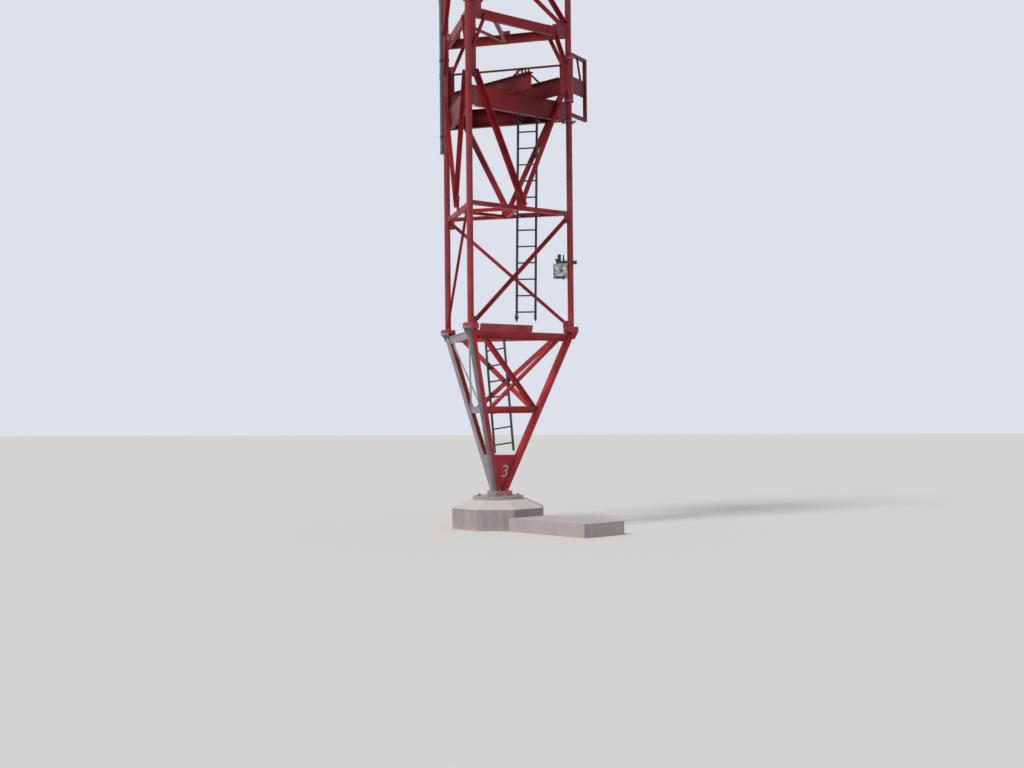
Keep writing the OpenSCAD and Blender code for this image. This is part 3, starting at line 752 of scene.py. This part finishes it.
def bolts_of_face(heap, face):
    low = (-HALF + BRACE_END, JOINT_Z + DIAGONAL_INSET + DIAGONAL_LIFT)
    high = (HALF - BRACE_END, RING_1_Z - DIAGONAL_INSET)
    both_ends(heap, face, low, high, (0.018, 0.045), (0.018, 0.045))
    for side in (-1, 1):
        reach = HALF - V_END
        top = (side * reach, V_APEX_Z + reach * V_SLOPE)
        foot = (side * V_FOOT, V_APEX_Z + V_FOOT * V_SLOPE)
        aim = (V_AIMS[side], V_APEX_Z)
        row_of_bolts(heap, face, top, aim, (0.030, 0.085), V_OUT, V_BOLT)
        row_of_bolts(heap, face, foot, top, (0.012, 0.05), V_OUT, V_BOLT)
        brace_end = side * (HALF - BRACE_END)
        knee_low = (brace_end, V_TOP_Z + BRACE_END * KNEE_SLOPE)
        knee_high = (side * (HALF - KNEE_HEIGHT / KNEE_SLOPE), RING_2_Z)
        both_ends(heap, face, knee_low, knee_high, (0.02, 0.08, 0.13), (0.02, 0.07))
        rise = CROSS_INSET + BRACE_END * CROSS_SLOPE
        cross_low = (brace_end, RING_2_Z + rise)
        cross_high = (-brace_end, RING_3_Z - rise)
        both_ends(heap, face, cross_low, cross_high, (0.03, 0.10), (0.02, 0.06))
        for along in RING_BOLTS_ALONG:
            place = side * along
            upright_row(heap, face, place, (RING_1_Z,), MIDDLE_BOLT, RING_1_GRIP)
            upright_row(heap, face, place, UPPER_RING_HEIGHTS, MIDDLE_BOLT, RING_GRIP)
        for along in GIRDER_BOLTS_ALONG:
            place = side * along
            upright_row(heap, face, place, GIRDER_BOLT_HEIGHTS, LARGE_BOLT, GIRDER_GRIP)


face_bolts = Heap("face_bolts", bolt_metal)
for face in FACE_TURNS:
    bolts_of_face(face_bolts, face)
face_bolts.piece()

# %% [markdown]
# Bolts through the leg flanges
#
# The base and the section above it meet in pairs of thick round flanges. Six bolts go down
# through each pair, and the nuts hang underneath, where a spanner reaches them.

# %% Flange bolts
FLANGE_T = 0.045
FLANGE_BOLT_R = 0.110
FLANGE_BOLTS, FLANGE_BOLT = 6, 0.022

flange_bolts = Heap("flange_bolts", bolt_metal)
for leg in LEG_TURNS:
    for step in range(FLANGE_BOLTS):
        turn = math.radians(30 + step * 360 / FLANGE_BOLTS)
        spot = by_leg(leg, *on_circle(FLANGE_BOLT_R, turn, JOINT_Z + FLANGE_T))
        flange_bolts.bolt(spot, UPWARD, FLANGE_BOLT, 2 * FLANGE_T)
flange_bolts.piece()

# %% [markdown]
# Bolts in the base
#
# The beams and the lower rails run between the leaning legs, and the crossed braces between
# them. Bolts go through the ends of each, and one holds the braces where they cross. They
# lean with the face.

# %% Bolts on the leaning faces
BEAM_TOP = SLOPE_LENGTH - 0.025
BEAM_DEPTH = {"ab": 0.140, "bc": 0.140, "ca": 0.100}
RAIL_LOW, RAIL_DEPTH = 1.470, 0.120
BRACE_TOP_X, BRACE_LOW_X = 0.880, 0.490
STEEL_OUT = 0.010
BOLT_TO_EDGE = 0.030
BOLTS_INWARD = (0.120, 0.170)
NEAR_STEP, FAR_STEP = 0.05, 0.11


def base_bolts_of_face(heap, face):
    outward = base_face_out(face)
    beam_low = BEAM_TOP - BEAM_DEPTH[face]

    def bolt_at(along, up, size):
        heap.bolt(on_base_face(face, along, STEEL_OUT, up), outward, size, STEEL_OUT)

    low = Vector((BRACE_LOW_X, RAIL_LOW + RAIL_DEPTH))
    top = Vector((-BRACE_TOP_X, beam_low))
    near = (top - low).normalized() * NEAR_STEP
    far = (top - low).normalized() * FAR_STEP
    for side in (-1, 1):
        for inward in BOLTS_INWARD:
            for up in (beam_low + BOLT_TO_EDGE, BEAM_TOP - BOLT_TO_EDGE):
                bolt_at(side * (leg_along(up) - inward), up, MIDDLE_BOLT)
            for up in (RAIL_LOW + BOLT_TO_EDGE, RAIL_LOW + RAIL_DEPTH - BOLT_TO_EDGE):
                bolt_at(side * (leg_along(up) - inward), up, SMALL_BOLT)
        for spot in (low + near, low + far, top - near, top - far):
            bolt_at(side * spot[0], spot[1], SMALL_BOLT)
    crossing = low.lerp(top, BRACE_LOW_X / (BRACE_LOW_X + BRACE_TOP_X))
    bolt_at(0, crossing[1], LARGE_BOLT)


base_bolts = Heap("base_bolts", bolt_metal)
for face in FACE_TURNS:
    base_bolts_of_face(base_bolts, face)
base_bolts.piece()

# %% [markdown]
# The foot
#
# Six studs come up through the three-sided pad, each with a heavy nut, and eight anchor
# studs hold the round plate to the concrete. A bed of mortar fills the gap that is left
# under the plate, and squeezes out in an uneven ring.

# %% Studs, nuts and the mortar bed
PAD_T = 0.085
PAD_STUD_ALONG, PAD_STUD_OUT = 0.075, 0.128
PAD_STUD = {"nut": 0.027, "height": 0.048, "radius": 0.013}
ANCHORS, ANCHOR_R = 8, 0.385
ANCHOR = {"nut": 0.030, "height": 0.036, "radius": 0.014}
BLOCK_TOP_Z = 0.520
MORTAR_R, MORTAR_WAVE, MORTAR_BEAD = 0.462, 0.012, 0.016


def stud(spot, nut, height, radius):
    foot_studs.head(Matrix.Translation(spot), nut)
    foot_studs.rod(spot, spot + Vector((0, 0, height)), radius, 10)


foot_studs = Heap("foot_studs", plate_paint)
for turn in FACE_TURNS.values():
    spin = Matrix.Rotation(math.radians(turn), 4, "Z")
    for side in (-1, 1):
        stud(spin @ Vector((side * PAD_STUD_ALONG, -PAD_STUD_OUT, FOOT_Z)), **PAD_STUD)
for step in range(ANCHORS):
    turn = math.radians(-52.5 + step * 360 / ANCHORS)
    stud(on_circle(ANCHOR_R, turn, FOOT_Z - PAD_T), **ANCHOR)
foot_studs.piece()

mortar = Heap("mortar_bed", concrete)
rim = []
for step in range(97):
    radius = MORTAR_R + MORTAR_WAVE * math.sin(step * 1.7) + random.uniform(0, 0.008)
    rim.append(on_circle(radius, math.radians(step * 360 / 96), BLOCK_TOP_Z))
mortar.bead(rim, MORTAR_BEAD, step=0.02)
mortar.piece()

# %% [markdown]
# Weld beads
#
# The legs are welded to their flanges all round, and the plates to the legs along both
# sides. A weld is laid as a row of overlapping drops, so each bead swells and shrinks a
# little along its length. At the camera's distance it mostly shows as a dark line that
# softens a corner.

# %% Welds on the legs
WELD_OUT = 0.003
FLANGE_WELD = 0.046
THIN_BEAD, MIDDLE_BEAD, THICK_BEAD = 0.006, 0.007, 0.008
LEG_SKIN, PLATE_SIDE = 0.0565, 0.0095
PLATE_TURNS = (150, -150)
PLATE_HEIGHTS = ((5.76, 5.836), (7.515, 7.865), (8.01, 8.74), (9.075, 9.372), (11.674, 11.929))
ROUND_STEPS = range(0, 361, 12)


def circle_of(leg, radius, up):
    return [by_leg(leg, *on_circle(radius, math.radians(step), up)) for step in ROUND_STEPS]


def beside_plate(leg, turn, low, high):
    spin = Matrix.Rotation(math.radians(turn), 3, "Z")
    for side in (-1, 1):
        out, across, _ = spin @ Vector((LEG_SKIN, side * PLATE_SIDE, 0))
        yield [by_leg(leg, out, across, up) for up in (low, high)]


leg_welds = Heap("leg_welds", leg_paint)
for leg in LEG_TURNS:
    for up in (JOINT_Z + FLANGE_WELD, TOP_Z - FLANGE_WELD):
        leg_welds.bead(circle_of(leg, LEG_DIAMETER / 2 + WELD_OUT, up), MIDDLE_BEAD)
    for low, high in PLATE_HEIGHTS:
        for turn in PLATE_TURNS:
            for line in beside_plate(leg, turn, low, high):
                leg_welds.bead(line, THIN_BEAD, step=0.02)
leg_welds.piece()

# %% [markdown]
# Welds on the base
#
# A tube that leans meets a level plate in an oval, so these rings are longer one way than
# the other. The plates at the foot are welded to the tubes along their slope. The beads of
# the grey face are a heap of their own, because they are grey too.

# %% Welds on the leaning tubes
TUBE_R = 0.073
TUBE_LEAN = math.atan2(LEG_RING - FOOT_R, BASE_TOP_Z - FOOT_Z)
TUBE_IN_FACE = 0.078
FOOT_PLATE_OUT, FOOT_PLATE_ENDS = 0.009, (0.02, 0.67)


def tube_ring(leg, middle, up):
    turn = Matrix.Rotation(math.radians(LEG_TURNS[leg]), 4, "Z")
    narrow = TUBE_R + WELD_OUT
    wide = narrow / math.cos(TUBE_LEAN)
    ring = []
    for step in ROUND_STEPS:
        around = math.radians(step)
        spot = Vector((middle + wide * math.cos(around), narrow * math.sin(around), up))
        ring.append(turn @ spot)
    return ring


foot_welds = Heap("foot_welds", half_grey_paint)
primer_welds = Heap("primer_welds", grey_primer)
for leg in LEG_TURNS:
    foot_welds.bead(tube_ring(leg, FOOT_R, FOOT_Z + 0.002), THICK_BEAD)
    foot_welds.bead(tube_ring(leg, LEG_RING - 0.002, BASE_TOP_Z - 0.003), THICK_BEAD)
for face in FACE_TURNS:
    welds = primer_welds if face == "ab" else foot_welds
    for side in (-1, 1):
        line = [
            on_base_face(face, side * (leg_along(up) - TUBE_IN_FACE), FOOT_PLATE_OUT, up)
            for up in FOOT_PLATE_ENDS
        ]
        welds.bead(line, THIN_BEAD)
foot_welds.piece()
primer_welds.piece()

# %% [markdown]
# The cross girders' fittings
#
# Two cross girders lie over the collar and are bolted down through their feet. The first one
# ends in a cleat of four posts and a bar, for a hook, with a strut behind it.

# %% Bolts and the cleat on the cross girders
COLLAR_TOP_Z = COLLAR_Z + 0.350
GIRDER_TOP_Z = COLLAR_TOP_Z + 0.300
GIRDER_FOOT_T = 0.014
GIRDER_PLACES = (-0.120, 0.585)
GIRDER_REACH, CLEAT_BACK = 0.425, 0.150
GIRDER_BOLTS_SIDE, GIRDER_BOLTS_OUT = (-0.034, 0.034), (-0.035, -0.080)
CLEAT_PLATE = (0.090, 0.400, 0.012)
CLEAT_POSTS = (-0.200, -0.090, 0.0, 0.085)
POST_R, BAR_R, STRUT_R = 0.017, 0.013, 0.014
BAR_UP = 0.080

collar_bolts = Heap("collar_bolts", bolt_metal)
for along in GIRDER_PLACES:
    for side in GIRDER_BOLTS_SIDE:
        for out in GIRDER_BOLTS_OUT:
            spot = on_face("bc", along + side, out, COLLAR_TOP_Z + GIRDER_FOOT_T)
            collar_bolts.bolt(spot, UPWARD, MIDDLE_BOLT, 0.024)


def on_cleat(step, up):
    return on_face("bc", GIRDER_PLACES[0], GIRDER_REACH - CLEAT_BACK + step, GIRDER_TOP_Z + up)


cleat = Heap("hook_cleat", collar_paint)
along_face = Matrix.Rotation(math.radians(FACE_TURNS["bc"]), 4, "Z")
cleat.box(Matrix.Translation(on_cleat(-0.070, 0.006)) @ along_face, CLEAT_PLATE)
for step in CLEAT_POSTS:
    cleat.rod(on_cleat(step, 0.010), on_cleat(step, BAR_UP + 0.002), POST_R)
cleat.rod(on_cleat(-0.235, BAR_UP), on_cleat(0.112, BAR_UP), BAR_R)
cleat.rod(on_cleat(-0.330, 0.006), on_cleat(-0.205, BAR_UP), STRUT_R)
cleat.piece()

# %% [markdown]
# The sleeve and the plate at the right leg
#
# Above the collar a sleeve thickens the right leg, where the bracket pulls on it, and a ring
# closes it at each end. Below the collar a square plate lies round the same leg, with a bolt
# in each corner.

# %% The plate under the collar and the sleeve at the right leg
SLEEVE_LOW, SLEEVE_HIGH = 7.880, 8.708
SLEEVE_R, SLEEVE_RING_R, SLEEVE_BORE = 0.088, 0.096, 0.0575
SLEEVE_RING_H = 0.022
CORNER_PLATE = (0.235, 0.235, 0.014)
CORNER_BOLT = 0.088
on_leg_c = leg_frame("c")

sleeve = Heap("leg_sleeve", leg_paint)
sleeve_height = SLEEVE_HIGH - SLEEVE_LOW
sleeve.pipe(shifted(on_leg_c, 0, 0, SLEEVE_LOW), SLEEVE_R, SLEEVE_BORE, sleeve_height)
sleeve.piece()

# The rings take the pad's coat, bleached and with painted light.
sleeve_rings = Heap("sleeve_rings", pad_paint)
for up in (SLEEVE_LOW, SLEEVE_HIGH - SLEEVE_RING_H):
    sleeve_rings.pipe(shifted(on_leg_c, 0, 0, up), SLEEVE_RING_R, SLEEVE_BORE, SLEEVE_RING_H)
sleeve_rings.piece()

corner_plate = Heap("corner_plate", pole_zinc)
corner_plate.box(shifted(on_leg_c, 0, 0, COLLAR_Z - 0.008), CORNER_PLATE)
corner_plate.piece()
for side in (-CORNER_BOLT, CORNER_BOLT):
    for out in (-CORNER_BOLT, CORNER_BOLT):
        spot = on_leg_c @ Vector((out, side, COLLAR_Z - 0.015))
        collar_bolts.bolt(spot, (0, 0, -1), 0.016)
collar_bolts.piece()

# %% [markdown]
# Bolts of the level braces
#
# Inside each ring, level braces lie on the flanges of the ring and keep it from folding.
# Each end has two bolts that stand upright, so they show from below as well as from above.
# Six more hold the plate at the middle of the second ring's rear side.

# %% Bolts in the level braces
LEVEL_1_Z = RING_1_Z - 0.022
LEVEL_2_Z = RING_2_Z - 0.067
LEVEL_2_ENDS = (
    ("ca", -0.030), ("ca", 0.030), ("ab", 0.540), ("ab", 0.580), ("bc", -0.540), ("bc", -0.580),
)
REAR_PLATE_HEIGHTS = [RING_2_Z + up for up in (-0.02, 0.08, 0.16)]

plan_bolts = Heap("plan_bolts", bolt_metal)
for face in FACE_TURNS:
    for along in (-0.022, 0.022):
        plan_bolts.bolt(on_face(face, along, -0.052, LEVEL_1_Z), UPWARD, 0.013, 0.016)
for face, along in LEVEL_2_ENDS:
    plan_bolts.bolt(on_face(face, along, -0.050, LEVEL_2_Z), UPWARD, SMALL_BOLT, 0.018)
for along in (-0.055, 0.055):
    upright_row(plan_bolts, "ca", along, REAR_PLATE_HEIGHTS, SMALL_BOLT, 0)
plan_bolts.piece()

# %% [markdown]
# The painted numeral
#
# A hand-painted numeral stands on the red plate at the front of the foot. It could be a
# picture laid on the plate, but a thin ribbon of paint, a millimetre thick, is simpler: it
# follows a line drawn by two arcs, and its edges stay sharp at any distance.

# %% A painted three
NUMERAL_ALONG, NUMERAL_UP = 0.038, 0.384
LOWER_R = 0.052
UPPER_R = LOWER_R * 0.92
WIDENING = 1.15
STROKE, COAT = 0.024, 0.001


def arc(up, radius, first, last, steps=14):
    points = []
    for step in range(steps + 1):
        turn = math.radians(first + (last - first) * step / steps)
        along = radius * WIDENING * math.cos(turn)
        points.append(Vector((along, up + radius * math.sin(turn), 0)))
    return points


numeral = Heap("painted_numeral", mark_white)
on_plate = shifted(base_frame("bc"), NUMERAL_ALONG, -0.0062, NUMERAL_UP)
upper = arc(UPPER_R, UPPER_R, 150, -90)
lower = arc(-LOWER_R, LOWER_R, 90, -150)
stands_up = Matrix.Rotation(math.pi / 2, 4, "X")
numeral.ribbon(on_plate @ stands_up, upper + lower[1:], STROKE, COAT)
numeral.piece()

# %% [markdown]
# The cable box
#
# The pale box on the right leg is a sheet metal case. Its door is a plate with turned edges,
# and a lip above it keeps the rain out. Each part is a small box, placed in the box's own
# directions: along it, out of it and up.

# %% The box's door and lip
BOX_Z, BOX_TURN = 4.856, math.radians(168)
BOX_MIDDLE, BOX_FRONT, BOX_HEIGHT = 0.1875, 0.085, 0.266
DOOR_W, DOOR_H, DOOR_T = 0.236, 0.212, 0.006
DOOR_UP = -0.130
EDGE_W, EDGE_T, EDGE_OUT = 0.010, 0.012, 0.007
LIP_SIZE = (0.264, 0.022, 0.014)
in_box = shifted(on_leg_c, 0, 0, BOX_Z) @ Matrix.Rotation(BOX_TURN, 4, "Z")


def before_box(along, out, up):
    return shifted(in_box, along, BOX_FRONT + out, up)


door = Heap("box_door", box_paint)
door.box(before_box(BOX_MIDDLE, DOOR_T / 2, DOOR_UP), (DOOR_W, DOOR_T, DOOR_H))
for side in (-1, 1):
    along = BOX_MIDDLE + side * (DOOR_W - EDGE_W) / 2
    door.box(before_box(along, EDGE_OUT, DOOR_UP), (EDGE_W, EDGE_T, DOOR_H))
for side in (1, -1):
    up = DOOR_UP + side * (DOOR_H - EDGE_W) / 2
    door.box(before_box(BOX_MIDDLE, EDGE_OUT, up), (DOOR_W, EDGE_T, EDGE_W))
door.piece()

box_lip = Heap("box_lip", mark_white)
box_lip.box(before_box(BOX_MIDDLE, 0.010, -0.008), LIP_SIZE)
box_lip.piece()

# %% [markdown]
# The box's dark fittings
#
# The door hangs on two hinges and is shut by a latch. A dark strip runs along the foot of
# the box at the front and at the back, and three short glands stand out below. Two blocks
# and a stud stand on the clamp, and three bolts on each side draw its bars together.

# %% The box's hinges, latch, glands and clamp fittings
HINGES_UP, HINGE_H, HINGE_R = (-0.070, -0.190), 0.036, 0.008
LATCH_SIZE = (0.026, 0.014, 0.030)
STRIP_SIZE = (0.190, 0.004, 0.028)
LOW_BLOCK, TALL_BLOCK = (0.104, 0.070, 0.036), (0.060, 0.050, 0.100)
STUD_ALONG, STUD_OUT = 0.1265, 0.060
GLANDS = ((0.135, 0.028), (0.195, 0.012), (0.250, 0.012))
CLAMP_TOP = 0.056
CLAMP_BOLTS_ALONG = (-0.090, 0.115, 0.240)
CLAMP_OUT = 0.0695


def upright_rod(along, out, up, height, radius, sides=12):
    low = in_box @ Vector((along, out, up))
    box_trim.rod(low, low + Vector((0, 0, height)), radius, sides)


box_trim = Heap("box_trim", ladder_paint)
for up in HINGES_UP:
    upright_rod(0.308, BOX_FRONT + 0.010, up - HINGE_H / 2, HINGE_H, HINGE_R)
box_trim.box(before_box(0.164, 0.012, -0.135), LATCH_SIZE)
for front in (-1, 1):
    strip = shifted(in_box, 0.197, front * (BOX_FRONT + 0.002), -0.251)
    box_trim.box(strip, STRIP_SIZE)
for along, reach in GLANDS:
    upright_rod(along, 0.030, -BOX_HEIGHT, -reach * 0.6, 0.018, 6)
    upright_rod(along, 0.030, -BOX_HEIGHT - reach * 0.5, -reach * 0.5, 0.012)
box_trim.box(shifted(in_box, 0.230, 0.050, CLAMP_TOP + 0.018), LOW_BLOCK)
box_trim.box(shifted(in_box, 0.205, 0.050, CLAMP_TOP + 0.068), TALL_BLOCK)
upright_rod(STUD_ALONG, STUD_OUT, CLAMP_TOP, 0.030, 0.021, 6)
upright_rod(STUD_ALONG, STUD_OUT, CLAMP_TOP, 0.108, 0.013)
for along in CLAMP_BOLTS_ALONG:
    for front in (1, -1):
        spot = in_box @ Vector((along, front * CLAMP_OUT, CLAMP_TOP / 2))
        box_trim.bolt(spot, in_box.to_3x3() @ Vector((0, front, 0)), SMALL_BOLT)
box_trim.piece()

# %% [markdown]
# Ladder ends
#
# The ladder hangs from the rings, and its stiles end below in points that once stood in a
# socket. Bolts hold its arms to the first ring and to the collar.

# %% Ladder points and arm bolts
LADDER_FOOT = Vector((0.447, 0.381, JOINT_Z + 0.185))
STILE_SIDE = 0.1825
POINT_WIDTHS = {-1: 0.048, 1: 0.032}
ARM_BOLTS = ((RING_1_Z + 0.020, 0.0345), (COLLAR_Z + 0.060, 0.0648))
ARM_BOLTS_BACK, ARM_BOLT = (0.225, 0.270), 0.012

ladder_points = Heap("ladder_points", ladder_paint)
for side, width in POINT_WIDTHS.items():
    tip = LADDER_FOOT + Vector((side * STILE_SIDE, 0, 0))
    point = Matrix.Translation(tip) @ Matrix.Rotation(math.pi / 4, 4, "Z")
    ladder_points.cone(shifted(point, 0, 0, -0.030), 4, 0.004, width, 0.090)
    ladder_points.cone(shifted(point, 0, 0, 0.060), 4, width, 0.018, 0.070)
ladder_points.piece()

arm_bolts = Heap("arm_bolts", bolt_metal)
for up, shift in ARM_BOLTS:
    for side in (-1, 1):
        for back in ARM_BOLTS_BACK:
            across = LADDER_FOOT.x + shift + side * STILE_SIDE
            arm_bolts.bolt(Vector((across, LADDER_FOOT.y + back, up)), UPWARD, ARM_BOLT)
arm_bolts.piece()

# %% [markdown]
# Pole fittings
#
# The pole beside the left leg is made of screwed lengths, so short couplings thicken it, and
# a cap closes its lower end.

# %% The side pole's couplings and cap
POLE_DIAMETER, POLE_GAP = 0.080, 0.012
POLE_OFF = (LEG_DIAMETER + POLE_DIAMETER) / 2 + POLE_GAP
POLE_LOW_Z = RING_1_Z + 1.286
COUPLINGS_Z = (8.520, 10.020, 11.400)
COUPLING = {"outer": 0.046, "inner": 0.0395, "length": 0.110}
CAP = {"outer": 0.045, "inner": 0.034, "length": 0.060}
POLE_TURN = math.radians(10)
by_pole = shifted(leg_frame("a") @ Matrix.Rotation(POLE_TURN, 4, "Z"), POLE_OFF, 0, 0)

pole_fittings = Heap("pole_fittings", pole_zinc)
for up in COUPLINGS_Z:
    pole_fittings.pipe(shifted(by_pole, 0, 0, up), **COUPLING)
pole_fittings.pipe(shifted(by_pole, 0, 0, POLE_LOW_Z - 0.004), **CAP)
pole_fittings.piece()

# %% [markdown]
# The floor
#
# The mast stands on a plain pale floor, as in a studio. It belongs to the stage and not to the
# mast.

# %% A plain floor
FLOOR_SIZE = 160.0


def plain_floor():
    mesh = bpy.data.meshes.new("floor")
    half = FLOOR_SIZE / 2
    corners = [(-half, -half, 0), (half, -half, 0), (half, half, 0), (-half, half, 0)]
    mesh.from_pydata(corners, [], [(0, 1, 2, 3)])
    floor = bpy.data.objects.new("floor", mesh)
    bpy.context.scene.collection.objects.link(floor)
    finish = Finish("pale_floor", roughness=0.95)
    finish.colour((0.72, 0.70, 0.67))
    mesh.materials.append(finish.material)


plain_floor()
print("the floor is", FLOOR_SIZE, "m wide")

# %% [markdown]
# Sky and lamp
#
# The sky is even and pale. The camera sees a brighter sky than the one that lights the
# steel, so that the light doesn't wash out the paint, and smooth surfaces mirror the bright
# one. One broad, high lamp from the front left gives the faces their different shades.

# %% The sky and the lamp
SKY_LIGHT, SKY_LIGHT_STRENGTH = (0.80, 0.84, 0.92), 0.55
SKY_SEEN, SKY_SEEN_STRENGTH = (0.72, 0.75, 0.83), 1.0
LAMP_COLOUR, LAMP_STRENGTH, LAMP_SPREAD = (1.0, 0.965, 0.91), 1.9, 12
LAMP_TILT, LAMP_HEADING = 40, -35


class Sky(Finish):
    def __init__(self, name):
        world = bpy.data.worlds.new(name)
        world.use_nodes = True
        self.tree = world.node_tree
        self.output = self.tree.nodes["World Output"]
        bpy.context.scene.world = world

    def glow(self, colour, strength):
        return self.add("ShaderNodeBackground", {}, {"Color": colour, "Strength": strength})


sky = Sky("studio")
seen = sky.add("ShaderNodeLightPath")
mirrored = sky.add("ShaderNodeLightPath", out="Is Glossy Ray")
passed = sky.add("ShaderNodeLightPath", out="Is Transmission Ray")
either = seen.sum("MAXIMUM", seen.sum("MAXIMUM", seen, mirrored), passed)
lighting = sky.glow(SKY_LIGHT, SKY_LIGHT_STRENGTH)
backdrop = sky.glow(SKY_SEEN, SKY_SEEN_STRENGTH)
choice = sky.add("ShaderNodeMixShader", {}, {0: either, 1: lighting, 2: backdrop})
sky.plug(choice, sky.output.inputs["Surface"])

lamp = bpy.data.objects.new("high_lamp", bpy.data.lights.new("high_lamp", "SUN"))
bpy.context.scene.collection.objects.link(lamp)
lamp.data.energy = LAMP_STRENGTH
lamp.data.angle = math.radians(LAMP_SPREAD)
lamp.data.color = LAMP_COLOUR
lamp.rotation_euler = (math.radians(LAMP_TILT), 0, math.radians(LAMP_HEADING))
bpy.context.scene.view_settings.view_transform = "Standard"
print("sky and lamp are in")
